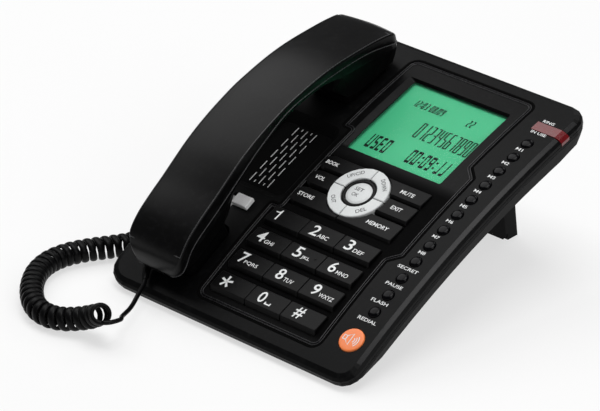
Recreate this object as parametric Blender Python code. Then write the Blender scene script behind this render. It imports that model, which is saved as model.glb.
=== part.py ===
# Desk telephone with a caller display: a sloping base, a handset in its cradle and a coiled cord.
# Metres, +Z up, -Y towards the user. The origin is the middle of the front foot's underside.
# Most pieces are drawn flat, as x across, s along the sloping panel from its front edge and h above
# it, and are then bent to the panel's arc. The cord, the stand and the flat boards are drawn upright.

import math

import bmesh
import bpy
from mathutils import Matrix, Vector

# Panel arc, seen from the side
panel_radius = 0.743
front_slope = math.radians(32.1)
front_edge_height = 0.010
foot_setback = 0.009
bend_stations = 12

# Gaps shared by all pieces
clearance = 0.0003
overrun = 0.002

# Layout along the panel: number keys, function keys and display, one behind the other
frame_front = 0.0085
number_margin = 0.0064
number_rows = 4
number_pitch_s = 0.0176
number_base_length = 0.0141
number_rear = frame_front + number_margin + (number_rows - 1) * number_pitch_s + number_base_length
function_lead = 0.006
function_front = number_rear + function_lead
function_length = 0.0420
function_rear = function_front + function_length
ring_place_share = 0.564
ring_s = function_front + function_length * ring_place_share
window_lead = 0.0112
window_front = function_rear + window_lead
window_length = 0.0656
window_rear = window_front + window_length
frame_head = 0.0154
frame_rear = window_rear + frame_head
frame_margin_rear = 0.007
panel_length = frame_rear + frame_margin_rear

# Layout across the panel: number keys, the handset to their left and round keys to their right
number_left = -0.0316
number_columns = 3
number_pitch_x = 0.0279
number_right = number_left + number_columns * number_pitch_x
frame_side = 0.0064
frame_left = number_left - frame_side
frame_right = number_right + frame_side
handset_gap = 0.004
handset_width = 0.044
handset_centre = frame_left - handset_gap - handset_width / 2
handset_margin = 0.015
panel_left = handset_centre - handset_width / 2 - handset_margin
key_strip_width = 0.029
panel_right = frame_right + key_strip_width

# Base covers
front_left_corner = 0.011
front_right_corner = 0.008
rear_corner = 0.011
edge_slope_width = 0.003
edge_slope_drop = 0.0012
side_swell = 0.0045
side_turn_depth = 0.0026
groove_depth = 0.0042
groove_height = 0.0004
groove_cut = 0.0006
seam_depth = 0.0066
cover_thickness = 0.003
side_wall = 0.002
side_depth = 0.015
low_edge_inset = 0.0025
belly_inset = 0.013
belly_depth = 0.024
bottom_wall = 0.002

# Keypad frame, the inset panel that carries the display and the keys
wing_width = 0.0075
frame_wing = frame_right + wing_width
wing_lead = 0.0048
wing_front = number_rear - wing_lead
wing_run = 0.018
wing_rear = window_front + wing_run
wing_slant = 0.007
frame_corner = 0.006
frame_bend = 0.002
frame_drop = 0.0006
frame_thickness = 0.0018
frame_edge = 0.0004
frame_ledge = 0.0011

# Handset place, shared by the cradle and the handset
handset_front = 0.0080
handset_margin_rear = 0.0116
handset_length = panel_length - handset_front - handset_margin_rear
handset_rise = 0.0426

# Cradle wells and the hand recess with the loudspeaker grille
well_width_share = 0.773
well_width = handset_width * well_width_share
well_depth = 0.0035
well_corner = 0.006
well_slack = 0.001
well_margin_front = 0.0085
mouth_well_front = handset_front + well_margin_front
mouth_well_length = 0.040
well_margin_rear = 0.0094
ear_well_length = 0.040
ear_well_front = handset_front + handset_length - well_margin_rear - ear_well_length
cradle_wall = 0.002
recess_reach_left = 0.021
recess_left = handset_centre - recess_reach_left
recess_reach_right = 0.0045
recess_right = frame_left + recess_reach_right
recess_lead = 0.0042
recess_front = number_rear + recess_lead
recess_length = 0.0645
recess_depth = 0.006
recess_corner = 0.010
recess_slope = 0.006
frame_notch_wall = 0.0024

# Keys
key_travel = 0.0012
key_slack = 0.00035
key_gap = 0.0004
key_bottom = 0.0037
key_flange = 0.0010
key_edge = 0.0004

# Cord
wire_diameter = 0.0030
coil_radius = 0.0062
coil_curls = 40
points_per_curl = 8


def clear_scene():
    for old in list(bpy.data.objects):
        bpy.data.objects.remove(old)


def material(name, colour, roughness, metallic=0.0, alpha=1.0):
    made = bpy.data.materials.new(name)
    made.use_nodes = True
    shader = made.node_tree.nodes["Principled BSDF"]
    shader.inputs["Base Color"].default_value = (*colour, 1.0)
    shader.inputs["Roughness"].default_value = roughness
    shader.inputs["Metallic"].default_value = metallic
    shader.inputs["Alpha"].default_value = alpha
    return made


# Places on the panel


def slope_at(s):
    """Tilt of the panel where the arc length from its front edge is s."""
    return front_slope - s / panel_radius


def on_arc(x, s, h):
    slope = slope_at(s)
    y = panel_radius * (math.sin(front_slope) - math.sin(slope)) - h * math.sin(slope)
    z = panel_radius * (math.cos(slope) - math.cos(front_slope)) + h * math.cos(slope)
    return Vector((x, y - foot_setback, z + front_edge_height))


def flat_depth(s, middle, depth):
    """Height h at s of a flat plane that lies depth below the panel at middle."""
    return (panel_radius - depth) / math.cos((s - middle) / panel_radius) - panel_radius


def between(table, share):
    """Smooth value at share from a table of (share, value) rows."""
    last = len(table) - 1
    if share <= table[0][0]:
        return table[0][1]
    if share >= table[last][0]:
        return table[last][1]
    i = max(k for k in range(last) if table[k][0] <= share)
    (a, low), (b, high) = table[i], table[i + 1]
    width = b - a
    chord = (high - low) / width
    before = (low - table[i - 1][1]) / (a - table[i - 1][0]) if i else chord
    after = (table[i + 2][1] - high) / (table[i + 2][0] - b) if i + 2 <= last else chord
    # A slope is zero at a peak, so the curve stays within its rows.
    first = 2 * before * chord / (before + chord) if before * chord > 0 else 0
    second = 2 * chord * after / (chord + after) if chord * after > 0 else 0
    first = chord if i == 0 else first
    second = chord if i + 2 > last else second
    t = (share - a) / width
    return (
        (2 * t**3 - 3 * t**2 + 1) * low
        + (t**3 - 2 * t**2 + t) * width * first
        + (3 * t**2 - 2 * t**3) * high
        + (t**3 - t**2) * width * second
    )


# Outlines in x and s, anticlockwise


def rectangle(left, right, front, rear):
    return [Vector(p) for p in ((left, front), (right, front), (right, rear), (left, rear))]


def turn_at(corners, i):
    a, b, c = corners[i - 1], corners[i], corners[(i + 1) % len(corners)]
    return (b - a).cross(c - b)


def grown(corners, distance):
    """The outline with each side moved outwards by distance."""
    moved = []
    for i, corner in enumerate(corners):
        ahead = corners[(i + 1) % len(corners)] - corner
        behind = corner - corners[i - 1]
        out_a = Vector((behind.y, -behind.x)).normalized()
        out_b = Vector((ahead.y, -ahead.x)).normalized()
        moved.append(corner + (out_a + out_b) * (distance / (1 + out_a.dot(out_b))))
    return moved


def rounded(corners, radii, steps, splits=None):
    """The outline with round corners; splits gives how often each side is divided."""
    points = []
    for i, corner in enumerate(corners):
        back = (corners[i - 1] - corner).normalized()
        ahead = (corners[(i + 1) % len(corners)] - corner).normalized()
        half = math.acos(max(-1.0, min(1.0, back.dot(ahead)))) / 2
        run = radii[i] / math.tan(half)
        centre = corner + (back + ahead).normalized() * (radii[i] / math.sin(half))
        start = corner + back * run - centre
        end = corner + ahead * run - centre
        sweep = start.angle_signed(end)
        for k in range(steps + 1):
            points.append(centre + Matrix.Rotation(-sweep * k / steps, 2) @ start)
    if splits:
        per_corner = steps + 1
        divided = []
        for i, count in enumerate(splits):
            divided += points[i * per_corner : (i + 1) * per_corner]
            here, there = divided[-1], points[((i + 1) * per_corner) % len(points)]
            divided += [here.lerp(there, k / count) for k in range(1, count)]
        points = divided
    return points


def outline(corners, radii, grow=0.0, steps=3, splits=None):
    """Grown and rounded: outer corners get rounder as the outline grows, inner ones sharper."""
    least = min(radii) / 4
    signs = [1 if turn_at(corners, i) > 0 else -1 for i in range(len(corners))]
    radii = [max(least, r + grow * sign) for r, sign in zip(radii, signs)]
    return rounded(grown(corners, grow), radii, steps, splits)


def circle(x, s, radius, sides):
    turn = 2 * math.pi / sides
    return [
        Vector((x + radius * math.cos(turn * k), s + radius * math.sin(turn * k)))
        for k in range(sides)
    ]


def level(points, height):
    """An outline lifted to a height, which may be a function of s."""
    if callable(height):
        return [Vector((p.x, p.y, height(p.y))) for p in points]
    return [Vector((p.x, p.y, height)) for p in points]


# Meshes


def cap(mesh, ring, strip_from=None):
    """Closes a ring with one face, or with strips across where it isn't flat."""
    if strip_from is None:
        mesh.faces.new(ring)
        return
    count = len(ring)
    for k in range(count // 2 - 1):
        right, left = strip_from + k, strip_from - 1 - k
        corners = (right, right + 1, left - 1, left)
        mesh.faces.new([ring[c % count] for c in corners])


def add_stack(mesh, rings, strip_from=None):
    """Adds a closed body through rings of equal length."""
    made = [[mesh.verts.new(p) for p in ring] for ring in rings]
    count = len(made[0])
    for low, high in zip(made, made[1:]):
        for k in range(count):
            n = (k + 1) % count
            mesh.faces.new((low[k], low[n], high[n], high[k]))
    cap(mesh, made[0], strip_from)
    cap(mesh, made[-1], strip_from)


def piece(name, stacks, finish=None, strip_from=None):
    """An object of one or more closed bodies, each given by its rings."""
    mesh = bmesh.new()
    for rings in stacks:
        add_stack(mesh, rings, strip_from)
    bmesh.ops.recalc_face_normals(mesh, faces=mesh.faces)
    data = bpy.data.meshes.new(name)
    mesh.to_mesh(data)
    mesh.free()
    made = bpy.data.objects.new(name, data)
    bpy.context.scene.collection.objects.link(made)
    if finish:
        data.materials.append(finish)
    return made


def block(left, right, front, rear, low, high):
    corners = rectangle(left, right, front, rear)
    return [level(corners, low), level(corners, high)]


def combine(target, other, operation):
    """Unites or cuts, and keeps the result as the target's own mesh."""
    other.hide_render = True
    other.display_type = "WIRE"
    step = target.modifiers.new(operation.lower(), "BOOLEAN")
    step.operation = operation
    step.solver = "EXACT"
    step.object = other
    graph = bpy.context.evaluated_depsgraph_get()
    data = bpy.data.meshes.new_from_object(target.evaluated_get(graph))
    target.modifiers.clear()
    target.data = data
    bpy.data.objects.remove(other)


def join(target, stacks, strip_from=None):
    combine(target, piece("added_form", stacks, strip_from=strip_from), "UNION")


def cut(target, stacks):
    combine(target, piece("cut_form", stacks), "DIFFERENCE")


def smooth_round(made, angle=35):
    made.data.shade_smooth()
    made.data.set_sharp_from_angle(angle=math.radians(angle))


def bend(made, divide=True):
    """Divides a flat piece across the slope, then lays it on the panel's arc."""
    mesh = bmesh.new()
    mesh.from_mesh(made.data)
    for k in range(bend_stations + 1) if divide else ():
        place = Vector((0, panel_length * k / bend_stations, 0))
        everything = mesh.verts[:] + mesh.edges[:] + mesh.faces[:]
        bmesh.ops.bisect_plane(
            mesh, geom=everything, plane_co=place, plane_no=(0, 1, 0), dist=clearance / 100
        )
    for vertex in mesh.verts:
        vertex.co = on_arc(*vertex.co)
    bmesh.ops.triangulate(mesh, faces=[f for f in mesh.faces if len(f.verts) > 4])
    mesh.to_mesh(made.data)
    mesh.free()
    smooth_round(made)


def set_origin(made, place):
    """Moves an object's origin to a place and leaves its shape where it is."""
    made.data.transform(Matrix.Translation(-place))
    made.location = place


# Base covers

panel_corners = rectangle(panel_left, panel_right, 0, panel_length)
panel_radii = (front_left_corner, front_right_corner, rear_corner, rear_corner)


def cover_ring(grow, height, splits=None):
    return level(outline(panel_corners, panel_radii, grow, 4, splits), height)


frame_notch = recess_right + frame_notch_wall
frame_corners = [
    Vector(p)
    for p in (
        (frame_left, frame_front),
        (frame_right, frame_front),
        (frame_right, wing_front),
        (frame_wing, wing_front + wing_slant),
        (frame_wing, wing_rear - wing_slant),
        (frame_right, wing_rear),
        (frame_right, frame_rear),
        (frame_left, frame_rear),
        (frame_left, recess_front + recess_length + frame_notch_wall),
        (frame_notch, recess_front + recess_length + frame_notch_wall),
        (frame_notch, recess_front - frame_notch_wall),
        (frame_left, recess_front - frame_notch_wall),
    )
]
frame_radii = [frame_corner] * 2 + [frame_bend] * 4 + [frame_corner] * 2 + [frame_bend] * 4

# Round keys in a line down the right side
round_key_inset = 0.0115
round_key_x = panel_right - round_key_inset
round_key_lead = 0.0382
round_key_last = panel_length - round_key_lead
round_key_pitch = 0.01338
round_key_count = 12
round_key_radius = 0.00375
round_key_rise = 0.0013
round_flange = 0.0008
round_flange_height = 0.0006
speaker_key_inset = 0.0122
speaker_key_x = panel_right - speaker_key_inset
speaker_key_lead = 0.0216
speaker_key_s = round_key_last - round_key_pitch * (round_key_count - 1) - speaker_key_lead
speaker_key_radius = 0.0079
speaker_key_rise = 0.0009
round_key_names = [f"memory_key_{n}" for n in range(1, 9)] + [
    "secret_key",
    "pause_key",
    "flash_key",
    "redial_key",
]

# Lamp set across the rear right edge
lamp_length = 0.0182
lamp_left = panel_right - lamp_length
lamp_lead = 0.012
lamp_front = round_key_last + lamp_lead
lamp_width = 0.0072
lamp_depth = 0.005
lamp_proud = 0.0004

# Hook switch
hook_shift = 0.004
hook_left = handset_centre + hook_shift
hook_width = 0.0118
hook_lead = 0.0144
hook_front = recess_front - hook_lead
hook_length = 0.0078
hook_proud = 0.0026
hook_arm_width = 0.010
hook_arm_reach = 0.022
hook_stem_depth = 0.0115
hook_flange = 0.001
hook_travel = 0.004

# Grille slots in the floor of the recess
grille_shift = 0.0035
grille_x = handset_centre + grille_shift
grille_lead = 0.0087
grille_front = recess_front + grille_lead
grille_columns = 5
grille_rows = 5
grille_column_pitch = 0.0037
grille_row_pitch = 0.0103
slot_width = 0.0011
slot_length = 0.0074
grille_rear = grille_front + grille_row_pitch * (grille_rows - 1) + slot_length


def recess_ring(inset, height):
    corners = rectangle(recess_left, recess_right, recess_front, recess_front + recess_length)
    return level(outline(corners, [recess_corner] * 4, -inset, 4), height)


def well_corners(front, length):
    half = well_width / 2
    return rectangle(handset_centre - half, handset_centre + half, front, front + length)


def well_ring(front, length, grow, height):
    return level(outline(well_corners(front, length), [well_corner] * 4, grow, 3), height)


def hook_hole(grow):
    """Outline of the hook's pad with its arm, which reaches forward under the mouthpiece."""
    right = hook_left + hook_width
    rear = hook_front + hook_length
    corners = [
        Vector(p)
        for p in (
            (hook_left - hook_arm_width, rear - hook_length - hook_arm_reach),
            (hook_left, rear - hook_length - hook_arm_reach),
            (hook_left, hook_front),
            (right, hook_front),
            (right, rear),
            (hook_left - hook_arm_width, rear),
        )
    ]
    return grown(corners, grow)


def round_key_place(i):
    return round_key_x, round_key_last - round_key_pitch * i


def make_top_cover(finish):
    rings = [
        cover_ring(0, 0),
        cover_ring(edge_slope_width, -edge_slope_drop),
        cover_ring(side_swell, -side_turn_depth),
        cover_ring(side_swell, -groove_depth),
        cover_ring(side_swell - groove_cut, -groove_depth),
        cover_ring(side_swell - groove_cut, -groove_depth - groove_height),
        cover_ring(side_swell, -groove_depth - groove_height),
        cover_ring(side_swell, -seam_depth),
        cover_ring(side_swell - side_wall, -seam_depth),
        cover_ring(side_swell - side_wall, -cover_thickness),
    ]
    cover = piece("top_cover", [rings], finish)
    inside = -cover_thickness / 2
    half = well_width / 2 + cradle_wall
    front = mouth_well_front - cradle_wall
    rear = ear_well_front + ear_well_length + cradle_wall
    under = -well_depth - cradle_wall
    join(cover, [block(handset_centre - half, handset_centre + half, front, rear, under, inside)])
    tub = [
        recess_ring(recess_slope - cradle_wall, -recess_depth - cradle_wall),
        recess_ring(-cradle_wall, -cover_thickness),
        recess_ring(-cradle_wall, inside),
    ]
    join(cover, [tub])
    over = overrun
    holes = [
        [
            well_ring(mouth_well_front, mouth_well_length, 0, -well_depth),
            well_ring(mouth_well_front, mouth_well_length, well_slack, over),
        ],
        [
            well_ring(ear_well_front, ear_well_length, 0, -well_depth),
            well_ring(ear_well_front, ear_well_length, well_slack, over),
        ],
        [
            recess_ring(recess_slope, -recess_depth),
            recess_ring(0, 0),
            recess_ring(0, over),
        ],
        [
            level(
                outline(frame_corners, frame_radii, clearance),
                -frame_drop - frame_thickness - clearance,
            ),
            level(outline(frame_corners, frame_radii, clearance), over),
        ],
        block(
            lamp_left - clearance,
            panel_right + side_swell + over,
            lamp_front - clearance,
            lamp_front + lamp_width + clearance,
            -lamp_depth - clearance,
            over,
        ),
    ]
    for i in range(round_key_count):
        hole = circle(*round_key_place(i), round_key_radius + key_slack, 16)
        holes.append([level(hole, -cover_thickness - over), level(hole, over)])
    hole = circle(speaker_key_x, speaker_key_s, speaker_key_radius + key_slack, 24)
    holes.append([level(hole, -cover_thickness - over), level(hole, over)])
    cut(cover, holes)
    ledge = outline(frame_corners, frame_radii, -frame_ledge)
    shaft = hook_hole(clearance)
    floor = -recess_depth - cradle_wall - over
    through = [
        [level(ledge, -cover_thickness - over), level(ledge, -frame_drop - clearance)],
        [level(shaft, under - over), level(shaft, over)],
    ]
    for column in range(grille_columns):
        x = grille_x + (column - (grille_columns - 1) / 2) * grille_column_pitch
        staggered = column % 2
        for row in range(grille_rows + staggered):
            s = grille_front + (row - staggered / 2) * grille_row_pitch
            front, rear = max(s, grille_front), min(s + slot_length, grille_rear)
            sides = (x - slot_width / 2, x + slot_width / 2, front, rear)
            through.append(block(*sides, floor, -recess_depth + over))
    cut(cover, through)
    bend(cover)
    return cover


# Underside: depth of the low side edge and of the belly, as shares along the panel
low_edge_share = (
    (-0.02, 0.50), (0.02, 0.64), (0.06, 0.80), (0.105, 0.92), (0.5, 1.0), (0.92, 1.12), (1.01, 0.62),
)  # fmt: skip
belly_share = ((0.057, 0.46), (0.2, 1.0), (0.96, 1.0))

# Board posts
board_inset = 0.008
board_left = frame_left + board_inset
board_strip_inset = 0.005
board_strip_right = panel_right - board_strip_inset
board_strip_width = 0.016
board_strip_left = board_strip_right - board_strip_width
board_lead = 0.0115
board_front = frame_front + board_lead
board_tail = 0.0012
board_rear = round_key_last + board_tail
board_middle = (board_front + board_rear) / 2
board_shoulder_lead = 0.0052
board_shoulder = function_rear + board_shoulder_lead
board_depth = 0.012
board_thickness = 0.0012
post_radius = 0.003
post_inset = 0.012
post_places = (
    (board_left + post_inset, board_front + post_inset),
    (number_right, board_front + post_inset),
    (board_left + post_inset, board_shoulder - post_inset),
    ((board_strip_left + board_strip_right) / 2, board_rear - post_inset),
)

# Sockets for the handset cord, on the left, and the line, at the rear
cord_socket_lead = 0.002
cord_socket_s = recess_front - cord_socket_lead
cord_socket_top = 0.0084
cord_socket_width = 0.0115
cord_socket_height = 0.0092
cord_socket_length = 0.014
plug_width = 0.0076
plug_height = 0.0060
plug_length = 0.011
line_socket_inset = 0.018
line_socket_x = frame_left + line_socket_inset
line_socket_top = 0.0105
line_socket_width = 0.0130
line_socket_height = 0.0100
line_socket_length = 0.0135
line_socket_setback = 0.0005
line_socket_mouth = panel_length - line_socket_setback
line_hole_width = 0.0099
line_hole_height = 0.0072
socket_back = 0.0015

# Stand that holds up the rear
hinge_lead = 0.024
hinge_s = panel_length - hinge_lead
hinge_drop = 0.0038
hinge_barrel = 0.0031
hinge_pin = 0.0020
hinge_pin_slack = 0.00035
lug_radius = 0.0048
lug_thickness = 0.004
stand_width = 0.0906
stand_middle = (panel_left + panel_right) / 2
stand_thickness = 0.0035
stand_lean = math.radians(7.5)
stand_corner = 0.008
stand_rib_depth = 0.009
stand_rib_thickness = 0.003
stand_rib_top = 0.006


def side_inner():
    """Where the inner face of the left wall stands."""
    return panel_left - side_swell + side_wall


def low_edge(s):
    return -side_depth * between(low_edge_share, s / panel_length)


def belly(s):
    return -belly_depth * between(belly_share, s / panel_length)


def hinge_place():
    return on_arc(stand_middle, hinge_s, -belly_depth - hinge_drop)


def across(profile, left, right):
    """Rings of a shape drawn in y and z, from one x to another."""
    return [[Vector((x, y, z)) for y, z in profile] for x in (left, right)]


def beside_stand(profile, side, near, far):
    """The shape from near to far of the stand's middle, on its left (-1) or right (1)."""
    return across(profile, stand_middle + side * near, stand_middle + side * far)


def lug_profile():
    """A tab round the hinge whose top is buried in the belly."""
    hinge = hinge_place()
    slope = slope_at(hinge_s)
    points = []
    for k in range(9):
        turn = math.pi * (1 + k / 8) + slope
        points.append((hinge.y + lug_radius * math.cos(turn), hinge.z + lug_radius * math.sin(turn)))
    rise = hinge_drop + bottom_wall / 2
    for side in (1, -1):
        y = hinge.y + side * lug_radius * math.cos(slope) - rise * math.sin(slope)
        z = hinge.z + side * lug_radius * math.sin(slope) + rise * math.cos(slope)
        points.append((y, z))
    return points


def barrel_profile(radius, sides):
    hinge = hinge_place()
    turn = 2 * math.pi / sides
    return [
        (hinge.y + radius * math.cos(turn * k), hinge.z + radius * math.sin(turn * k))
        for k in range(sides)
    ]


def cord_socket_box(grow, left, right):
    half = cord_socket_width / 2 + grow
    low = -cord_socket_top - cord_socket_height - grow
    return block(left, right, cord_socket_s - half, cord_socket_s + half, low, -cord_socket_top + grow)


def line_socket_box(grow, front, rear):
    half = line_socket_width / 2 + grow
    low = -line_socket_top - line_socket_height - grow
    left = line_socket_x - half
    return block(left, left + 2 * half, front, rear, low, -line_socket_top + grow)


def make_bottom_cover(finish):
    splits = (1, 12, 1, 12)
    rim = -seam_depth - clearance
    belly_grow = -belly_inset
    rings = [
        cover_ring(belly_grow, belly, splits),
        cover_ring(side_swell - low_edge_inset, low_edge, splits),
        cover_ring(side_swell, rim, splits),
        cover_ring(side_swell - side_wall, rim, splits),
        cover_ring(
            side_swell - low_edge_inset - side_wall,
            lambda s: min(low_edge(s) + bottom_wall, rim - clearance),
            splits,
        ),
        cover_ring(
            belly_grow - bottom_wall / 2,
            lambda s: min(belly(s) + bottom_wall, rim - clearance),
            splits,
        ),
    ]
    cover = piece("bottom_cover", [rings], finish, strip_from=5)
    posts = []
    for x, s in post_places:
        top = flat_depth(s, board_middle, board_depth + board_thickness) - clearance
        ring = circle(x, s, post_radius, 10)
        posts.append([level(ring, belly(s) + bottom_wall / 2), level(ring, top)])
    join(cover, posts)
    left = panel_left - side_swell - overrun
    mouth = panel_length + side_swell + overrun
    sockets = [
        cord_socket_box(clearance, left, side_inner() + cord_socket_length + clearance),
        line_socket_box(clearance, line_socket_mouth - line_socket_length - clearance, mouth),
    ]
    cut(cover, sockets)
    bend(cover)
    profile = lug_profile()
    inner = stand_width / 2 + clearance
    join(cover, [beside_stand(profile, side, inner, inner + lug_thickness) for side in (-1, 1)])
    hole = barrel_profile(hinge_pin + hinge_pin_slack, 12)
    reach = inner + lug_thickness - cradle_wall / 2
    cut(cover, [beside_stand(hole, side, inner - overrun / 4, reach) for side in (-1, 1)])
    smooth_round(cover)
    return cover


# Display window, seen through a sloping opening of the frame
window_inset_left = 0.0064
window_left = number_left + window_inset_left
window_inset_right = 0.0034
window_right = number_right - window_inset_right
window_slope_left = 0.0048
window_slope_right = 0.0010
window_slope_front = 0.0014
window_slope_rear = 0.0014
window_corner = 0.0012
lens_lap = 0.0022
lens_thickness = 0.0012
panel_glass_thickness = 0.003

# Number keys
number_top_length = 0.0122
number_rise_rear = 0.0012
number_rise_front = 0.0027
number_corner = 0.0008
number_names = (
    ("key_1", "key_2", "key_3"),
    ("key_4", "key_5", "key_6"),
    ("key_7", "key_8", "key_9"),
    ("key_star", "key_0", "key_hash"),
)

# Function keys and the ring
ring_shift = 0.0007
ring_x = (number_left + number_right) / 2 - ring_shift
ring_outer = 0.0194
ring_inner = 0.0113
ring_rise = 0.0017
ok_radius = 0.0083
ok_rise = 0.0015
ok_step_depth = 0.0016
function_inset = 0.0022
function_left = number_left + function_inset
function_right = number_right
function_rise_rear = 0.0004
function_rise_front = 0.0016
function_lip = 0.0012
function_corner = 0.0055
function_bend = 0.0008
function_gap = 0.0006
function_row_share = ((0.705, 1.0), (0.376, 0.690), (0.0, 0.345))
function_names = (
    ("book_key", "mute_key"),
    ("volume_key", "exit_key"),
    ("store_key", "memory_key"),
)
ring_names = ("down_key", "up_key", "out_key", "delete_key")


def row_rear(row):
    return number_rear - number_pitch_s * row


def make_keypad_frame(finish):
    top = -frame_drop
    under = top - frame_thickness
    rings = [
        level(outline(frame_corners, frame_radii, 0), under),
        level(outline(frame_corners, frame_radii, 0), top - frame_edge),
        level(outline(frame_corners, frame_radii, -frame_edge), top),
    ]
    frame = piece("keypad_frame", [rings], finish)
    over = overrun
    holes = []
    right = number_right - key_gap
    for row in range(len(number_names)):
        rear = row_rear(row)
        hole = rectangle(number_left, right, rear - number_base_length, rear)
        hole = outline(hole, [number_corner] * 4, key_slack, 2)
        holes.append([level(hole, under - over), level(hole, over)])
    sides = (window_left, window_right, window_front, window_rear)
    slopes = (-window_slope_left, window_slope_right, -window_slope_front, window_slope_rear)
    low = rectangle(*sides)
    high = rectangle(*(side + slope for side, slope in zip(sides, slopes)))
    radii = [window_corner] * 4
    holes.append(
        [
            level(rounded(low, radii, 2), under - over),
            level(rounded(low, radii, 2), under),
            level(rounded(high, radii, 2), top),
            level(rounded(high, radii, 2), over),
        ]
    )
    rows = rectangle(function_left, function_right, function_front, function_front + function_length)
    rows = outline(rows, [function_bend] * 4, key_slack, 2)
    holes.append([level(rows, under - over), level(rows, over)])
    cut(frame, holes)
    ring = circle(ring_x, ring_s, ring_outer + key_slack, 40)
    cut(frame, [[level(ring, under - over), level(ring, over)]])
    bend(frame)
    return frame


def flat_plate(name, corners, radii, middle, top, thickness, finish):
    """A flat plate that touches the arc's direction at middle; top is its h there."""
    shift = Vector((0, middle))
    ring = rounded([corner - shift for corner in corners], radii, 2)
    made = piece(name, [[level(ring, -thickness), level(ring, 0)]], finish)
    made.location = on_arc(0, middle, top)
    made.rotation_euler = (slope_at(middle), 0, 0)
    return made


def make_display(window_finish, panel_finish):
    middle = (window_front + window_rear) / 2
    corners = grown(rectangle(window_left, window_right, window_front, window_rear), lens_lap)
    reach = corners[2].y - middle
    sag = panel_radius - math.sqrt(panel_radius**2 - reach**2)
    top = -frame_drop - frame_thickness - clearance - sag
    radii = [window_corner] * 4
    flat_plate("display_window", corners, radii, middle, top, lens_thickness, window_finish)
    below = top - lens_thickness - clearance
    flat_plate("display_panel", corners, radii, middle, below, panel_glass_thickness, panel_finish)


# Board and key mat
board_corner = 0.002
mat_margin = 0.0015
mat_top = 0.0055
mat_lead = 0.004
mat_front = frame_front + mat_lead


def board_outline(grow, front):
    corners = (
        (board_left, front),
        (board_strip_right, front),
        (board_strip_right, board_rear),
        (board_strip_left, board_rear),
        (board_strip_left, board_shoulder),
        (board_left, board_shoulder),
    )
    return grown([Vector(p) for p in corners], grow)


def make_board(board_finish, mat_finish):
    corners = board_outline(0, board_front)
    radii = [board_corner] * len(corners)
    flat_plate("main_board", corners, radii, board_middle, -board_depth, board_thickness, board_finish)
    ring = rounded(board_outline(-mat_margin, mat_front + mat_margin), radii, 2)
    under = lambda s: flat_depth(s, board_middle, board_depth) + clearance
    mat = piece("key_mat", [[level(ring, under), level(ring, -mat_top)]], mat_finish)
    bend(mat)


def press_key(made, x, s):
    bend(made, divide=False)
    set_origin(made, on_arc(x, s, 0))
    return made


def make_number_keys(finish):
    width = number_pitch_x - key_gap
    for row, names in enumerate(number_names):
        rear = row_rear(row)
        for column, name in enumerate(names):
            left = number_left + number_pitch_x * column
            base = rectangle(left, left + width, rear - number_base_length, rear)
            top = rectangle(left, left + width, rear - number_top_length, rear)
            skirt = grown(base, 0)
            skirt[0].y -= key_flange
            skirt[1].y -= key_flange
            skirt[2].y += key_flange
            skirt[3].y += key_flange
            radii = [number_corner] * 4
            under = -frame_drop - frame_thickness - clearance
            tilt = (number_rise_front - number_rise_rear) / number_top_length
            rise = lambda s: number_rise_rear + (rear - s) * tilt
            rings = [
                level(rounded(skirt, radii, 2), -key_bottom),
                level(rounded(skirt, radii, 2), under),
                level(rounded(base, radii, 2), under),
                level(rounded(base, radii, 2), -frame_drop),
                level(rounded(top, radii, 2), lambda s: rise(s) - key_edge),
                level(outline(top, radii, -key_edge, 2), rise),
            ]
            made = piece(name, [rings], finish)
            press_key(made, left + width / 2, rear - number_base_length / 2)


def function_outline(side, front, rear, inset, lip=0.0):
    """One function key, from its outer end to the ring: side is -1 left of the ring, +1 right."""
    outer = function_left if side < 0 else function_right
    outer_x = abs(outer - ring_x) - inset
    radius = ring_outer + function_gap + inset
    front = front + inset - lip
    rear = rear - inset
    points = []
    least = function_gap / 2 + inset
    bend_radius = function_corner if side < 0 else function_bend
    for s, start in ((front, -90), (rear, 0)):
        centre = s + (bend_radius if start else -bend_radius)
        for k in range(4):
            turn = math.radians(start + 30 * k)
            x = outer_x - bend_radius + bend_radius * math.cos(turn)
            points.append((x, centre + bend_radius * math.sin(turn)))
    angles = []
    for s in (rear, front):
        drop = max(-radius, min(radius, s - ring_s))
        x = max(least, math.sqrt(radius**2 - drop**2))
        angles.append(math.atan2(math.copysign(math.sqrt(radius**2 - x**2), drop), x))
        if s == rear:
            points.append((x, rear))
    count = 6
    for k in range(count + 1):
        turn = angles[0] + (angles[1] - angles[0]) * k / count
        points.append((radius * math.cos(turn), ring_s + radius * math.sin(turn)))
    points.append((max(least, radius * math.cos(angles[1])), front))
    made = [Vector((ring_x + side * x, s)) for x, s in points]
    return made if side > 0 else made[::-1]


def without_doubles(rings):
    """Drops the points that coincide with the one before in every ring."""
    count = len(rings[0])
    kept = [
        k
        for k in range(count)
        if any((ring[k] - ring[k - 1]).length > clearance / 10 for ring in rings)
    ]
    return [[ring[k] for k in kept] for ring in rings]


def make_function_keys(finish):
    under = -frame_drop - frame_thickness - clearance
    for row, names in zip(function_row_share, function_names):
        front, rear = (function_front + function_length * share for share in row)
        top_front = front + function_lip
        for side, name in zip((-1, 1), names):
            tilt = (function_rise_front - function_rise_rear) / (rear - top_front)
            rise = lambda s: function_rise_rear + (rear - s) * tilt
            rings = without_doubles(
                [
                    level(function_outline(side, top_front, rear, 0, function_lip), -key_bottom),
                    level(function_outline(side, top_front, rear, 0, function_lip), -frame_drop),
                    level(function_outline(side, top_front, rear, 0), lambda s: rise(s) - key_edge),
                    level(function_outline(side, top_front, rear, key_edge), rise),
                ]
            )
            made = piece(name, [rings], finish)
            outer = function_left if side < 0 else function_right
            press_key(made, (outer + ring_x + side * ring_outer) / 2, (front + rear) / 2)


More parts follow.
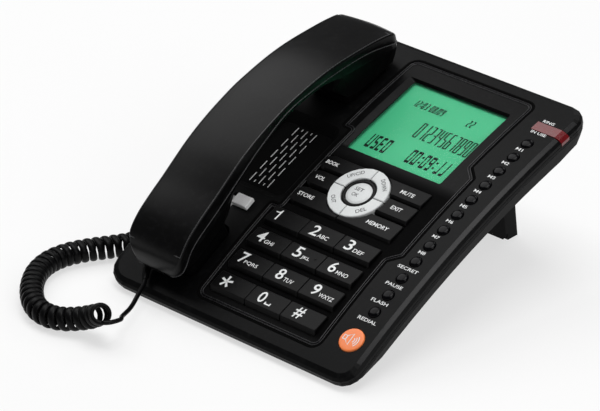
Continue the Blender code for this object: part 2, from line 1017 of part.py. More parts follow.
def ring_outline(quarter, inset):
    """A quarter of the ring, held back from its neighbours by half a gap."""
    start = math.pi / 2 * quarter
    back = key_gap / 2 + inset
    points = []
    inner, outer = ring_inner + inset, ring_outer - inset
    for radius, ends in ((inner, (1, 0)), (outer, (0, 1))):
        trim = math.asin(back / radius)
        low, high = start + trim, start + math.pi / 2 - trim
        first, last = (high, low) if ends[0] else (low, high)
        for k in range(8):
            turn = first + (last - first) * k / 7
            points.append(Vector((ring_x + radius * math.cos(turn), ring_s + radius * math.sin(turn))))
    return points


def make_ring_keys(ring_finish, ok_finish):
    for quarter, name in enumerate(ring_names):
        rings = [
            level(ring_outline(quarter, 0), -key_bottom),
            level(ring_outline(quarter, 0), ring_rise - key_edge),
            level(ring_outline(quarter, key_edge), ring_rise),
        ]
        made = piece(name, [rings], ring_finish)
        turn = math.pi / 2 * (quarter + 1 / 2)
        reach = (ring_inner + ring_outer) / 2
        press_key(made, ring_x + reach * math.cos(turn), ring_s + reach * math.sin(turn))
    make_round_key("ok_key", ring_x, ring_s, ok_radius, ok_rise, 0, ok_finish, 28)


def make_round_key(name, x, s, radius, rise, flange, finish, sides):
    """A shallow dome on a flange under the cover or, with none, on a step inside the ring keys."""
    shoulder = -cover_thickness - clearance
    rings = []
    if flange:
        for height in (shoulder - round_flange_height, shoulder):
            rings.append(level(circle(x, s, radius + flange, sides), height))
        rings.append(level(circle(x, s, radius, sides), shoulder))
    else:
        for height in (-key_bottom, -ok_step_depth):
            rings.append(level(circle(x, s, ring_inner - key_gap, sides), height))
        rings.append(level(circle(x, s, radius, sides), -ok_step_depth))
    dome_share = ((1.0, 0.30), (0.82, 0.72), (0.45, 1.0))
    for width_share, height_share in dome_share:
        rings.append(level(circle(x, s, radius * width_share, sides), rise * height_share))
    press_key(piece(name, [rings], finish), x, s)


def make_side_keys(key_finish, speaker_finish):
    for i, name in enumerate(round_key_names):
        place = round_key_place(i)
        make_round_key(name, *place, round_key_radius, round_key_rise, round_flange, key_finish, 14)
    place = (speaker_key_x, speaker_key_s)
    radius, rise = speaker_key_radius, speaker_key_rise
    make_round_key("speaker_key", *place, radius, rise, round_flange, speaker_finish, 24)


def make_ring_lamp(finish):
    """A lens that fills its slot and follows the cover over its sloping edge."""
    half = panel_right
    low = -lamp_depth
    section = (
        (lamp_left, low),
        (half + side_swell, low),
        (half + side_swell + lamp_proud, -side_turn_depth),
        (half + edge_slope_width, lamp_proud - edge_slope_drop),
        (half, lamp_proud),
        (lamp_left, lamp_proud),
    )
    rings = [
        [Vector((x, s, h)) for x, h in section] for s in (lamp_front, lamp_front + lamp_width)
    ]
    bend(piece("ring_lamp", [rings], finish), divide=False)


def make_hook_switch(finish):
    """A sprung pad beside the mouthpiece, on an arm that the handset's cup holds down."""
    stem = hook_hole(0)
    pad = rectangle(hook_left, hook_left + hook_width, hook_front, hook_front + hook_length)
    flange = hook_hole(hook_flange)
    made = piece("hook_switch", [[level(stem, -hook_stem_depth), level(stem, -well_depth)]], finish)
    raised = [level(grown(pad, 0), -hook_stem_depth + hook_flange / 2)]
    raised.append(level(grown(pad, 0), hook_proud - key_edge))
    raised.append(level(grown(pad, -key_edge), hook_proud))
    join(made, [raised])
    join(made, [[level(flange, -hook_stem_depth), level(flange, -hook_stem_depth + hook_flange)]])
    bend(made, divide=False)
    set_origin(made, on_arc(hook_left + hook_width / 2, hook_front + hook_length / 2, 0))


# Loudspeaker under the grille
speaker_radius = 0.0250
speaker_rim = 0.003
speaker_depth = 0.0112
magnet_radius = 0.0150
magnet_height = 0.0045


def make_loudspeaker(finish):
    x = grille_x
    s = recess_front + recess_length / 2
    top = -recess_depth - cradle_wall - clearance
    rings = [
        level(circle(x, s, speaker_radius, 28), top),
        level(circle(x, s, speaker_radius, 28), top - speaker_rim),
        level(circle(x, s, magnet_radius, 28), top - speaker_depth + magnet_height),
        level(circle(x, s, magnet_radius, 28), top - speaker_depth),
    ]
    bend(piece("loudspeaker", [rings], finish))


def make_sockets(finish):
    mouth = side_inner() - side_wall / 2
    back = side_inner() + cord_socket_length
    socket = piece("handset_socket", [cord_socket_box(0, mouth, back)], finish)
    half = plug_width / 2 + clearance
    middle = -cord_socket_top - cord_socket_height / 2
    reach = plug_height / 2 + clearance
    hole = block(
        mouth - overrun,
        back - socket_back,
        cord_socket_s - half,
        cord_socket_s + half,
        middle - reach,
        middle + reach,
    )
    cut(socket, [hole])
    bend(socket, divide=False)
    front = line_socket_mouth - line_socket_length
    socket = piece("line_socket", [line_socket_box(0, front, line_socket_mouth)], finish)
    half = line_hole_width / 2
    middle = -line_socket_top - line_socket_height / 2
    hole = block(
        line_socket_x - half,
        line_socket_x + half,
        front + socket_back,
        line_socket_mouth + overrun,
        middle - line_hole_height / 2,
        middle + line_hole_height / 2,
    )
    cut(socket, [hole])
    bend(socket, divide=False)


def make_stand(finish):
    """A leg on a hinge under the rear of the base, cut level where it stands."""
    hinge = hinge_place()
    long = hinge.z / math.cos(stand_lean) + overrun
    half = stand_width / 2
    leg = rectangle(-half, half, -long, 0)
    radii = (stand_corner, stand_corner, hinge_pin, hinge_pin)
    ring = rounded(leg, radii, 5)
    thick = stand_thickness / 2
    made = piece("rear_stand", [[level(ring, -thick), level(ring, thick)]], finish)
    ribs = []
    for side in (-1, 1):
        inner = side * (half - stand_rib_thickness)
        edges = sorted((inner, side * half))
        ribs.append(block(*edges, -long, -stand_rib_top, -stand_rib_depth, 0))
    join(made, ribs)
    # The leg is drawn lying down, front face up, and is then stood up with its lean.
    turn = Matrix.Rotation(math.pi / 2 + stand_lean, 4, "X")
    made.data.transform(Matrix.Translation(hinge) @ turn)
    barrel = barrel_profile(hinge_barrel, 14)
    join(made, [across(barrel, stand_middle - half, stand_middle + half)])
    reach = half + clearance + lug_thickness - cradle_wall / 2 - clearance
    pin = barrel_profile(hinge_pin, 12)
    join(made, [across(pin, stand_middle - reach, stand_middle + reach)])
    mesh = bmesh.new()
    mesh.from_mesh(made.data)
    everything = mesh.verts[:] + mesh.edges[:] + mesh.faces[:]
    cut_edges = bmesh.ops.bisect_plane(
        mesh, geom=everything, plane_co=(0, 0, 0), plane_no=(0, 0, -1), clear_outer=True
    )["geom_cut"]
    bmesh.ops.holes_fill(mesh, edges=[e for e in cut_edges if isinstance(e, bmesh.types.BMEdge)])
    bmesh.ops.recalc_face_normals(mesh, faces=mesh.faces)
    mesh.to_mesh(made.data)
    mesh.free()
    smooth_round(made)
    set_origin(made, hinge)


# Front foot
foot_width = 0.120
foot_length = 0.008


def make_front_foot(finish):
    """A rubber strip whose top follows the underside that it is glued to."""
    grow = side_swell - low_edge_inset
    front = on_arc(0, -grow, low_edge(-grow))
    rear = on_arc(0, belly_inset, belly(belly_inset))
    fall = (rear.z - front.z) / (rear.y - front.y)
    ends = (-foot_length / 2, foot_length / 2)
    tops = [(y, front.z + (y - front.y) * fall - clearance) for y in reversed(ends)]
    profile = [(y, 0.0) for y in ends] + tops
    piece("front_foot", [across(profile, -foot_width / 2, foot_width / 2)], finish)


# Handset, as shares of its length and rise
top_share = (
    (0.0, 0.27), (0.006, 0.38), (0.018, 0.495), (0.04, 0.60), (0.067, 0.675), (0.105, 0.735),
    (0.153, 0.775), (0.216, 0.817), (0.277, 0.873), (0.334, 0.925), (0.397, 0.962),
    (0.4675, 0.981), (0.534, 0.986), (0.606, 0.965), (0.6765, 0.932), (0.7395, 0.885),
    (0.854, 0.758), (0.935, 0.655), (0.976, 0.582), (1.0, 0.48),
)  # fmt: skip
seam_share = (
    (0.0, 0.249), (0.018, 0.293), (0.04, 0.40), (0.067, 0.493), (0.105, 0.545), (0.153, 0.575),
    (0.20, 0.605), (0.314, 0.71), (0.412, 0.812), (0.549, 0.893), (0.63, 0.85), (0.753, 0.744),
    (0.874, 0.60), (0.985, 0.385), (1.0, 0.36),
)  # fmt: skip
bottom_share = (
    (0.0, 0.225), (0.018, 0.212), (0.079, 0.195), (0.206, 0.22), (0.248, 0.27), (0.285, 0.45),
    (0.343, 0.56), (0.441, 0.655), (0.549, 0.68), (0.637, 0.64), (0.706, 0.53), (0.7405, 0.30),
    (0.762, 0.15), (0.804, 0.085), (0.921, 0.045), (0.976, 0.06), (1.0, 0.14),
)  # fmt: skip
floor_width_share = (
    (0.0, 0.80), (0.08, 0.90), (0.216, 0.90), (0.304, 0.60), (0.51, 0.55), (0.667, 0.60),
    (0.765, 0.90), (0.95, 0.90), (1.0, 0.80),
)  # fmt: skip
section_share = (
    0.0, 0.006, 0.018, 0.04, 0.067, 0.105, 0.153, 0.206, 0.248, 0.285, 0.33, 0.39, 0.45, 0.51,
    0.57, 0.63, 0.69, 0.7275, 0.762, 0.81, 0.87, 0.93, 0.965, 0.985, 0.995, 1.0,
)  # fmt: skip
handset_front_corner = 0.011
handset_rear_corner = 0.006
handset_wall = 0.0022
handset_edge = 0.0022
handset_crown = 0.0012
edge_turn_share = 0.3
crown_share = 0.45
turn_rise_share = 0.6
wall_share = 0.25
inner_shell_inset = 0.0006
inner_shell_turn = 0.0025
cup_depth = 0.0032
cup_inset = 0.0006
cup_floor = 0.0016


def handset_s(share):
    return handset_front + handset_length * share


def half_width(share):
    """Half the handset's width in plan, with round corners at both ends."""
    corner = handset_front_corner if share < 1 / 2 else handset_rear_corner
    from_end = min(share, 1 - share) * handset_length
    if from_end >= corner:
        return handset_width / 2
    rest = corner - from_end
    return handset_width / 2 - corner + math.sqrt(corner**2 - rest**2)


def rise_at(table, share):
    return handset_rise * between(table, share)


def section(share, points):
    """A section of the handset from points of x, from its middle line, and h, on its right side."""
    s = handset_s(share)
    right = [Vector((handset_centre + x, s, h)) for x, h in points]
    left = [Vector((handset_centre - x, s, h)) for x, h in reversed(points)]
    return right + left


def outer_section(share, inset, seam_shift=0.0):
    half = half_width(share) - inset
    seam = rise_at(seam_share, share) + seam_shift
    top = rise_at(top_share, share) - inset
    edge = handset_edge
    points = (
        (half, seam),
        (half, top - edge),
        (half - edge * edge_turn_share, top - edge * edge_turn_share),
        (half - edge, top),
        (half * crown_share, top + handset_crown),
    )
    return section(share, points)


def inner_section(share, inset, seam_shift=0.0):
    half = half_width(share) - inner_shell_inset - inset
    seam = rise_at(seam_share, share) - clearance + seam_shift
    floor = rise_at(bottom_share, share) + inset
    low_half = (half_width(share) - inner_shell_inset) * between(floor_width_share, share) - inset
    turn = inner_shell_turn
    points = (
        (low_half - turn, floor),
        (low_half, floor + turn * turn_rise_share),
        (half, max(floor + turn, seam - (seam - floor) * wall_share)),
        (half, seam),
    )
    return section(share, points)


def inside_shares():
    """Section places of a cavity, one wall away from both ends."""
    back = handset_wall / handset_length
    return [back + (1 - 2 * back) * share for share in section_share]


def sound_holes(x, s, count, spread, radius, low, high):
    holes = []
    for k in range(count):
        turn = 2 * math.pi * k / max(1, count - 1)
        reach = spread if k else 0
        ring = circle(x + reach * math.cos(turn), s + reach * math.sin(turn), radius, 8)
        holes.append([level(ring, low), level(ring, high)])
    return holes


# Receiver, microphone and ballast inside the handset
receiver_radius = 0.0140
receiver_height = 0.008
microphone_radius = 0.0050
microphone_height = 0.006
ballast_width = 0.014
ballast_height = 0.0045
ballast_front_share = 0.412
ballast_rear_share = 0.667
sound_hole_radius = 0.0011


def cup_middle(front, length):
    return handset_centre, front + length / 2


def make_handset(outer_finish, inner_finish):
    outer = piece("handset_outer_shell", [[outer_section(k, 0) for k in section_share]], outer_finish)
    cut(outer, [[outer_section(k, handset_wall, -overrun) for k in inside_shares()]])
    bend(outer, divide=False)
    inner = piece("handset_inner_shell", [[inner_section(k, 0) for k in section_share]], inner_finish)
    cups = []
    for front, length in ((mouth_well_front, mouth_well_length), (ear_well_front, ear_well_length)):
        bury = rise_at(bottom_share, (front - handset_front) / handset_length) + handset_wall / 2
        cups.append(
            [
                well_ring(front, length, -well_slack - cup_inset, -cup_depth),
                well_ring(front, length, -well_slack, -cup_depth + cup_inset),
                well_ring(front, length, -well_slack, bury),
            ]
        )
    join(inner, cups)
    cut(inner, [[inner_section(k, handset_wall, overrun) for k in inside_shares()]])
    ear = cup_middle(ear_well_front, ear_well_length)
    mouth = cup_middle(mouth_well_front, mouth_well_length)
    low = -cup_depth + cup_floor
    pockets = []
    for place, radius in ((ear, receiver_radius), (mouth, microphone_radius)):
        ring = circle(*place, radius + clearance, 24)
        pockets.append([level(ring, low), level(ring, handset_rise / 3)])
    cut(inner, pockets)
    holes = sound_holes(*ear, 7, receiver_radius / 2, sound_hole_radius, low - overrun, low + overrun)
    holes += sound_holes(*mouth, 1, 0, sound_hole_radius, low - overrun, low + overrun)
    cut(inner, holes)
    bend(inner, divide=False)
    return ear, mouth, low


def make_handset_inside(ear, mouth, low, finish, steel):
    base = low + clearance
    parts = (
        ("handset_receiver", ear, receiver_radius, receiver_height),
        ("handset_microphone", mouth, microphone_radius, microphone_height),
    )
    for name, place, radius, height in parts:
        rings = [
            level(circle(*place, radius, 20), base),
            level(circle(*place, radius, 20), base + height),
        ]
        bend(piece(name, [rings], finish), divide=False)
    rings = []
    steps = 6
    half = ballast_width / 2
    for k in range(steps + 1):
        share = ballast_front_share + (ballast_rear_share - ballast_front_share) * k / steps
        floor = rise_at(bottom_share, share) + handset_wall + clearance
        points = ((half, floor), (half, floor + ballast_height))
        rings.append(section(share, points))
    bend(piece("handset_ballast", [rings], steel), divide=False)


# Cord: routes in world places, chosen by hand. The coil's third value is its lift off the table.
relief_route = (
    (-0.0130, 0.0120, 0.0041), (-0.0118, 0.0085, 0.0041), (-0.0098, 0.0050, 0.0043),
    (-0.0076, 0.0017, 0.0046),
)  # fmt: skip
relief_width_share = (1.0, 1.0, 0.96, 0.88, 0.66)
relief_radius = 0.0026
relief_height = 0.0043
coil_route = (
    (-0.0527, -0.0644, 0.0138), (-0.0592, -0.0606, 0.0090), (-0.0665, -0.0606, 0.0048),
    (-0.0742, -0.0635, 0.0020), (-0.0820, -0.0672, 0.0005), (-0.0900, -0.0694, 0.0),
    (-0.0988, -0.0692, 0.0), (-0.1073, -0.0660, 0.0), (-0.1170, -0.0592, 0.0),
    (-0.1280, -0.0480, 0.0), (-0.1360, -0.0353, 0.0), (-0.1393, -0.0223, 0.0),
    (-0.1380, -0.0100, 0.0), (-0.1330, 0.0020, 0.0), (-0.1270, 0.0120, 0.0),
    (-0.1215, 0.0210, 0.0), (-0.1170, 0.0310, 0.0), (-0.1145, 0.0420, 0.0),
    (-0.1135, 0.0560, 0.0), (-0.1135, 0.0730, 0.0),
)  # fmt: skip
open_end_curls = 3
open_end_radius_share = 0.86
handset_lead_route = (
    (-0.0676, -0.0173, 0.0129), (-0.0586, -0.0351, 0.0112), (-0.0524, -0.0481, 0.0132),
    (-0.0462, -0.0565, 0.0166),
)  # fmt: skip
base_lead_route = (
    (-0.1206, 0.0746, 0.0215), (-0.1198, 0.0744, 0.0290), (-0.1160, 0.0730, 0.0353),
    (-0.1108, 0.0712, 0.0385),
)  # fmt: skip
lead_step = 0.0065


def curve_through(route, count):
    """Points on a smooth curve through a route, evenly spaced along its length."""
    points = [Vector(p) for p in route]
    last = len(points) - 1
    spans = [(q - p).length for p, q in zip(points, points[1:])]
    slopes = [(points[1] - points[0]) / spans[0]]
    for i in range(1, last):
        before = (points[i] - points[i - 1]) / spans[i - 1]
        after = (points[i + 1] - points[i]) / spans[i]
        slopes.append((before * spans[i] + after * spans[i - 1]) / (spans[i - 1] + spans[i]))
    slopes.append((points[last] - points[last - 1]) / spans[last - 1])
    fine = []
    for i in range(last):
        a, b = points[i], points[i + 1]
        go, come = slopes[i] * spans[i], slopes[i + 1] * spans[i]
        for k in range(12):
            t = k / 12
            here = a * (2 * t**3 - 3 * t**2 + 1) + go * (t**3 - 2 * t**2 + t)
            fine.append(here + b * (3 * t**2 - 2 * t**3) + come * (t**3 - t**2))
    fine.append(points[last])
    lengths = [0.0]
    for p, q in zip(fine, fine[1:]):
        lengths.append(lengths[-1] + (q - p).length)
    even = []
    i = 0
    for k in range(count + 1):
        want = lengths[-1] * k / count
        while i < len(fine) - 2 and lengths[i + 1] < want:
            i += 1
        even.append(fine[i].lerp(fine[i + 1], (want - lengths[i]) / (lengths[i + 1] - lengths[i])))
    return even, lengths[-1]


def coil_points():
    """A helix round the coil's centre line, a little narrower over the first curls.

    It has a straight run at each end.
    """
    rest = coil_radius + wire_diameter / 2 + clearance / 2
    line, length = curve_through([(x, y, rest + lift) for x, y, lift in coil_route], 600)
    turns = round((coil_curls + 1 / 4) * points_per_curl)
    points = []
    for i in range(-1, turns + 2):
        place = i / turns * (len(line) - 1)
        k = min(max(int(place), 0), len(line) - 2)
        centre = line[k] + (line[k + 1] - line[k]) * (place - k)
        forward = (line[k + 1] - line[k]).normalized()
        side = forward.cross(Vector((0, 0, 1))).normalized()
        up = side.cross(forward)
        narrow = min(1.0, max(0.0, 1 - i / points_per_curl / open_end_curls))
        radius = coil_radius * (1 - (1 - open_end_radius_share) * narrow)
        turn = 2 * math.pi * i / points_per_curl
        points.append(centre - radius * (math.cos(turn) * up + math.sin(turn) * side))
    start = (points[0] - points[2]).normalized() * wire_diameter
    end = (points[-1] - points[-3]).normalized() * wire_diameter
    points = points[1:-1]
    return [points[0] + start, *points, points[-1] + end]


def wire(name, points, finish, resolution):
    curve = bpy.data.curves.new(name, "CURVE")
    curve.dimensions = "3D"
    curve.bevel_depth = wire_diameter / 2
    curve.bevel_resolution = resolution
    curve.use_fill_caps = True
    spline = curve.splines.new("POLY")
    spline.points.add(len(points) - 1)
    for control, place in zip(spline.points, points):
        control.co = (*place, 1.0)
    spline.use_smooth = True
    curve.materials.append(finish)
    made = bpy.data.objects.new(name, curve)
    bpy.context.scene.collection.objects.link(made)
    return made


def least_gap(points):
    """Smallest free distance between turns, from the wire's points and the middles between them."""
    fine = []
    for p, q in zip(points, points[1:]):
        fine += [p, (p + q) / 2]
    apart = points_per_curl
    least = min(
        (fine[i] - fine[j]).length
        for i in range(len(fine))
        for j in range(i + apart, min(len(fine), i + 4 * apart))
    )
    return least - wire_diameter


def sleeve(name, points, radii, finish):
    """A round tapered sleeve along points, each ring square to the line there."""
    last = len(points) - 1
    rings = []
    for k, radius in enumerate(radii):
        ahead = points[min(k + 1, last)] - points[max(k - 1, 0)]
        side = ahead.cross(Vector((1, 0, 0))).normalized()
        up = ahead.cross(side).normalized()
        rings.append([points[k] + radius * (p.x * side + p.y * up) for p in circle(0, 0, 1, 12)])
    made = piece(name, [rings], finish)
    smooth_round(made)
    return made


def make_lead(name, start, route, end, finish):
    """A free stretch of wire; start and end are each a place and the direction out of it."""
    near, out_near = start
    far, out_far = end
    straight = wire_diameter
    inner = [near + out_near * straight, *route, far + out_far * straight]
    _, length = curve_through(inner, 1)
    points, _ = curve_through(inner, round(length / lead_step))
    points = [near, *points, far]
    wire(name, points, finish, 2)
    return sum((q - p).length for p, q in zip(points, points[1:]))


def direction(tail, tip):
    return (tip - tail).normalized()


def make_cord(finish, plug_finish):
    coil = coil_points()
    wire("curly_cord", coil, finish, 1)
    gap = least_gap(coil)
    print(f"curly_cord: least gap between turns {gap * 1000:.2f} mm")
    coil_length = sum((q - p).length for p, q in zip(coil, coil[1:]))
    cup_front = mouth_well_front + well_slack - clearance
    relief = [on_arc(handset_centre + relief_route[0][0], cup_front, relief_height)]
    relief += [on_arc(handset_centre + x, s, h) for x, s, h in relief_route]
    radii = [relief_radius * share for share in relief_width_share]
    sleeve("handset_cord_plug", relief, radii, plug_finish)
    out = direction(relief[-2], relief[-1])
    start = (relief[-1] + out * clearance, out)
    out = direction(coil[1], coil[0])
    end = (coil[0] + out * clearance, out)
    length = make_lead("handset_lead", start, handset_lead_route, end, finish)
    middle = -cord_socket_top - cord_socket_height / 2
    inside = side_inner() + cord_socket_length - socket_back - clearance
    half = plug_width / 2
    front, rear = cord_socket_s - half, cord_socket_s + half
    low, high = middle - plug_height / 2, middle + plug_height / 2
    body = block(inside - plug_length, inside, front, rear, low, high)
    plug = piece("base_cord_plug", [body], plug_finish)
    bend(plug, divide=False)
    out = direction(coil[-2], coil[-1])
    start = (coil[-1] + out * clearance, out)
    out = Vector((-1, 0, 0))
    end = (on_arc(inside - plug_length, cord_socket_s, middle) + out * clearance, out)
    length += make_lead("base_lead", start, base_lead_route, end, finish)
    total = coil_length + length
    print(f"cord: developed length {total:.3f} m, of which coiled {coil_length:.3f} m")


def main():
    clear_scene()
    shell = material("shell_black", (0.022, 0.023, 0.025), 0.42)
    lower = material("lower_black", (0.012, 0.012, 0.014), 0.55)
    frame_black = material("frame_black", (0.016, 0.016, 0.018), 0.35)
    key_black = material("key_grey_black", (0.030, 0.031, 0.034), 0.45)
    dome_black = material("dome_black", (0.006, 0.006, 0.010), 0.18)
    orange = material("speaker_orange", (0.86, 0.20, 0.045), 0.4)
    pale = material("ring_grey", (0.66, 0.68, 0.68), 0.45)
    clear = material("window_clear", (0.85, 0.95, 0.9), 0.05, alpha=0.3)
    green = material("display_green", (0.06, 0.52, 0.25), 0.4)
    red = material("lamp_red", (0.42, 0.01, 0.015), 0.2)
    white = material("hook_white", (0.85, 0.85, 0.85), 0.5)
    rubber = material("foot_rubber", (0.02, 0.02, 0.02), 0.9)
    handset_black = material("handset_black", (0.026, 0.027, 0.029), 0.38)
    board_green = material("board_green", (0.03, 0.16, 0.07), 0.6)
    silicone = material("mat_silicone", (0.35, 0.36, 0.36), 0.7)
    metal = material("speaker_metal", (0.25, 0.25, 0.26), 0.4, 0.8)
    cord_black = material("cord_black", (0.014, 0.014, 0.015), 0.5)

    make_top_cover(shell)
    make_bottom_cover(lower)
    make_keypad_frame(frame_black)
    make_display(clear, green)
    make_board(board_green, silicone)
    make_number_keys(key_black)
    make_function_keys(key_black)
    make_ring_keys(pale, pale)
    make_side_keys(dome_black, orange)
    make_ring_lamp(red)
    make_hook_switch(white)
    make_loudspeaker(metal)
    make_sockets(lower)
    make_stand(lower)
    make_front_foot(rubber)
    ear, mouth, low = make_handset(handset_black, handset_black)
    make_handset_inside(ear, mouth, low, metal, metal)
    make_cord(cord_black, cord_black)


main()
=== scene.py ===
import bmesh
import bpy
import math
from mathutils import Matrix, Vector
from mathutils.bvhtree import BVHTree


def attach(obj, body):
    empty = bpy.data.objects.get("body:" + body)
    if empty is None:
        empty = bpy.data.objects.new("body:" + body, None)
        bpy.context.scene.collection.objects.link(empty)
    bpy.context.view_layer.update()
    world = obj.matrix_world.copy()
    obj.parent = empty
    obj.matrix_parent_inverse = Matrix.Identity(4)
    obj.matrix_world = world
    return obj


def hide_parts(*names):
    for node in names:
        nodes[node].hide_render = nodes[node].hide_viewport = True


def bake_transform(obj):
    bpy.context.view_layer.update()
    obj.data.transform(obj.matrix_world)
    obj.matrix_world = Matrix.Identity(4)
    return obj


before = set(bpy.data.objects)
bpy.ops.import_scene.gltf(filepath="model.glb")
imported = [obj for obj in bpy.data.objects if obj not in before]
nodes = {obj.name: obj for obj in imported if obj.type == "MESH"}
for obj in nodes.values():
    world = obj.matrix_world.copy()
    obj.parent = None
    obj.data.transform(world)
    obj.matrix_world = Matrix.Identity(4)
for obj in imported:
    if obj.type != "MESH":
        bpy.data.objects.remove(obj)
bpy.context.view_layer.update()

# Lower cover, front foot and stand: a thin ABS tray with an eroded grain, screwed to the top
# cover from below. Its front edge stands on a glued strip of rubber, and the rear on a moulded
# leg that clips between two tabs.


class Dial:
    """A socket of a finish. A sum on it adds its Math nodes; add() puts in any other node."""

    def __init__(self, socket):
        self.socket = socket

    def add(self, kind, settings=None, sockets=None, out=0):
        tree = self.socket.id_data
        made = tree.nodes.new(kind)
        for name, value in (settings or {}).items():
            if name == "stops":
                ramp = made.color_ramp.elements
                while len(ramp) < len(value):
                    ramp.new(1.0)
                for stop, (place, colour) in zip(ramp, value):
                    stop.position = place
                    stop.color = (*colour, 1.0)
            else:
                setattr(made, name, value)
        for name, value in (sockets or {}).items():
            Dial(made.inputs[name]).take(value)
        return Dial(made.outputs[out])

    def take(self, value):
        if isinstance(value, Dial):
            self.socket.id_data.links.new(value.socket, self.socket)
        elif isinstance(value, tuple) and len(value) == 3 and self.socket.type == "RGBA":
            self.socket.default_value = (*value, 1.0)
        else:
            self.socket.default_value = value

    def sum(self, operation, *values):
        return self.add("ShaderNodeMath", {"operation": operation}, dict(enumerate(values)))

    def __add__(self, other):
        return self.sum("ADD", self, other)

    def __sub__(self, other):
        return self.sum("SUBTRACT", self, other)

    def __rsub__(self, other):
        return self.sum("SUBTRACT", other, self)

    def __mul__(self, other):
        return self.sum("MULTIPLY", self, other)

    __radd__ = __add__
    __rmul__ = __mul__

    def between(self, low, high):
        """0 below low, 1 above high, and even steps from one to the other."""
        return self.add("ShaderNodeMapRange", {}, {"Value": self, 1: low, 2: high})

    def tint(self, low, high):
        """The colour low where this value is 0 and high where it is 1."""
        return self.add(
            "ShaderNodeMix", {"data_type": "RGBA"}, {0: self, 6: low, 7: high}, out=2
        )


def noise(start, size, detail=2.0, roughness=0.5):
    """Cloudy pattern whose patches are about size metres across."""
    sockets = {"Scale": 1 / size, "Detail": detail, "Roughness": roughness, "Vector": start}
    return start.add("ShaderNodeTexNoise", {}, sockets)


def new_finish(name):
    """An empty material, its Principled shader and the object's own coordinates in metres."""
    made = bpy.data.materials.new(name)
    made.use_nodes = True
    shader = made.node_tree.nodes["Principled BSDF"]
    place = Dial(shader.inputs["Roughness"]).add("ShaderNodeTexCoord", out=3)
    return made, shader.inputs, place


def moulded(
    name, colour, shine, grain=0.00045, depth=0.00003, edge=0.00035, wear_and_highlight=0.5, gloss=0.07, painted_shade_area=None
):
    """Injection moulded plastic: eroded grain, faint flow marks, dust, and rounded edges, paler
    where worn and as a painted highlight.

    Within painted_shade_area, a range in x and one in y, the colour is darkened towards black as
    painted shade, and the face is made matte.
    """
    made, shader, place = new_finish(name)
    cloud = noise(place, 0.035, 3.0)
    fleck = noise(place, grain, 2.0)
    dust = noise(place, 0.0035, 4.0, 0.7).between(0.52, 0.74)
    rim = place.add("ShaderNodeBevel", {"samples": 4}, {"Radius": edge})
    flat = place.add("ShaderNodeNewGeometry", out=1)
    off = place.add("ShaderNodeVectorMath", {"operation": "DISTANCE"}, {0: rim, 1: flat}, out=1)
    # Edges where the bevel turns are tinted pale: partly wear, partly a painted edge highlight.
    worn_and_highlit = off.between(0.05, 0.7) * wear_and_highlight
    wear_and_highlight_colour = tuple(min(1.0, c * 3.0 + 0.02) for c in colour)
    dark = tuple(c * 0.86 for c in colour)
    pale = tuple(c * 1.12 for c in colour)
    base = (cloud * 0.6 + fleck * 0.4).between(0.3, 0.7).tint(dark, pale)
    grey = dust.tint((0, 0, 0), (1, 1, 1))
    speck = place.add(
        "ShaderNodeMix",
        {"data_type": "RGBA", "blend_type": "ADD"},
        {0: 0.004, 6: base, 7: grey},
        out=2,
    )
    body = place.add("ShaderNodeMix", {"data_type": "RGBA"}, {0: worn_and_highlit, 6: speck, 7: wear_and_highlight_colour}, out=2)
    rough = fleck * 0.10 + cloud * 0.08 + dust * 0.06 + (shine - 0.11)
    # Within the given x and y ranges the colour is darkened towards black as painted shade, and the
    # face made matte.
    if painted_shade_area:
        left, right, front, rear, soft = painted_shade_area
        parts = place.add("ShaderNodeSeparateXYZ", {}, {0: place}).socket.node.outputs
        x, y = Dial(parts[0]), Dial(parts[1])
        inside = x.between(left, left + 0.002) * x.between(right, right - 0.002)
        inside = inside * y.between(front, front + soft) * y.between(rear, rear - soft)
        body = place.add(
            "ShaderNodeMix",
            {"data_type": "RGBA"},
            {0: inside * 0.6, 6: body, 7: (0.0, 0.0, 0.0)},
            out=2,
        )
        rough = rough + inside * (0.96 - shine)
    Dial(shader["Base Color"]).take(body)
    Dial(shader["Roughness"]).take(rough)
    height = fleck * 0.7 + noise(place, grain * 2.6) * 0.3
    Dial(shader["Normal"]).take(
        place.add(
            "ShaderNodeBump",
            {},
            {"Strength": 0.35, "Distance": depth, "Height": height, "Normal": rim},
        )
    )
    shader["Specular IOR Level"].default_value = gloss
    return made


def dress(finish, *names):
    """Gives CAD nodes that keep their shape a finish."""
    for name in names:
        mesh = nodes[name].data
        mesh.materials.clear()
        mesh.materials.append(finish)


lower_plastic = moulded("lower_plastic", (0.0016, 0.0016, 0.0018), 0.55)
dress(lower_plastic, "bottom_cover", "rear_stand", "handset_socket", "line_socket")

rubber, shader, place = new_finish("foot_rubber")
pores = noise(place, 0.0006, 3.0)
chalk = noise(place, 0.006, 4.0).between(0.45, 0.8)
Dial(shader["Base Color"]).take(chalk.tint((0.018, 0.018, 0.018), (0.05, 0.049, 0.046)))
Dial(shader["Roughness"]).take(pores * 0.12 + chalk * 0.06 + 0.75)
Dial(shader["Normal"]).take(
    place.add("ShaderNodeBump", {}, {"Strength": 0.6, "Distance": 0.0001, "Height": pores})
)
dress(rubber, "front_foot")

# Circuit board, key mat and loudspeaker: green glass-epoxy on posts of the lower cover, under a
# moulded silicone mat that springs every key. The loudspeaker is a pressed steel basket with a
# paper cone, glued under the grille.

board, shader, place = new_finish("board_lacquer")
axes = place.add("ShaderNodeSeparateXYZ", {}, {0: place})
across = Dial(axes.socket.node.outputs[1])
weave = (axes * 5200.0).sum("SINE", axes * 5200.0) * (across * 5200.0).sum("SINE", across * 5200.0)
lanes = noise(place, 0.004, 1.0).between(0.49, 0.51)
Dial(shader["Base Color"]).take(lanes.tint((0.012, 0.10, 0.035), (0.03, 0.20, 0.07)))
Dial(shader["Roughness"]).take(noise(place, 0.01, 3.0) * 0.2 + 0.25)
Dial(shader["Normal"]).take(
    place.add(
        "ShaderNodeBump", {}, {"Strength": 0.4, "Distance": 0.00005, "Height": weave * 0.3 + lanes}
    )
)
dress(board, "main_board")

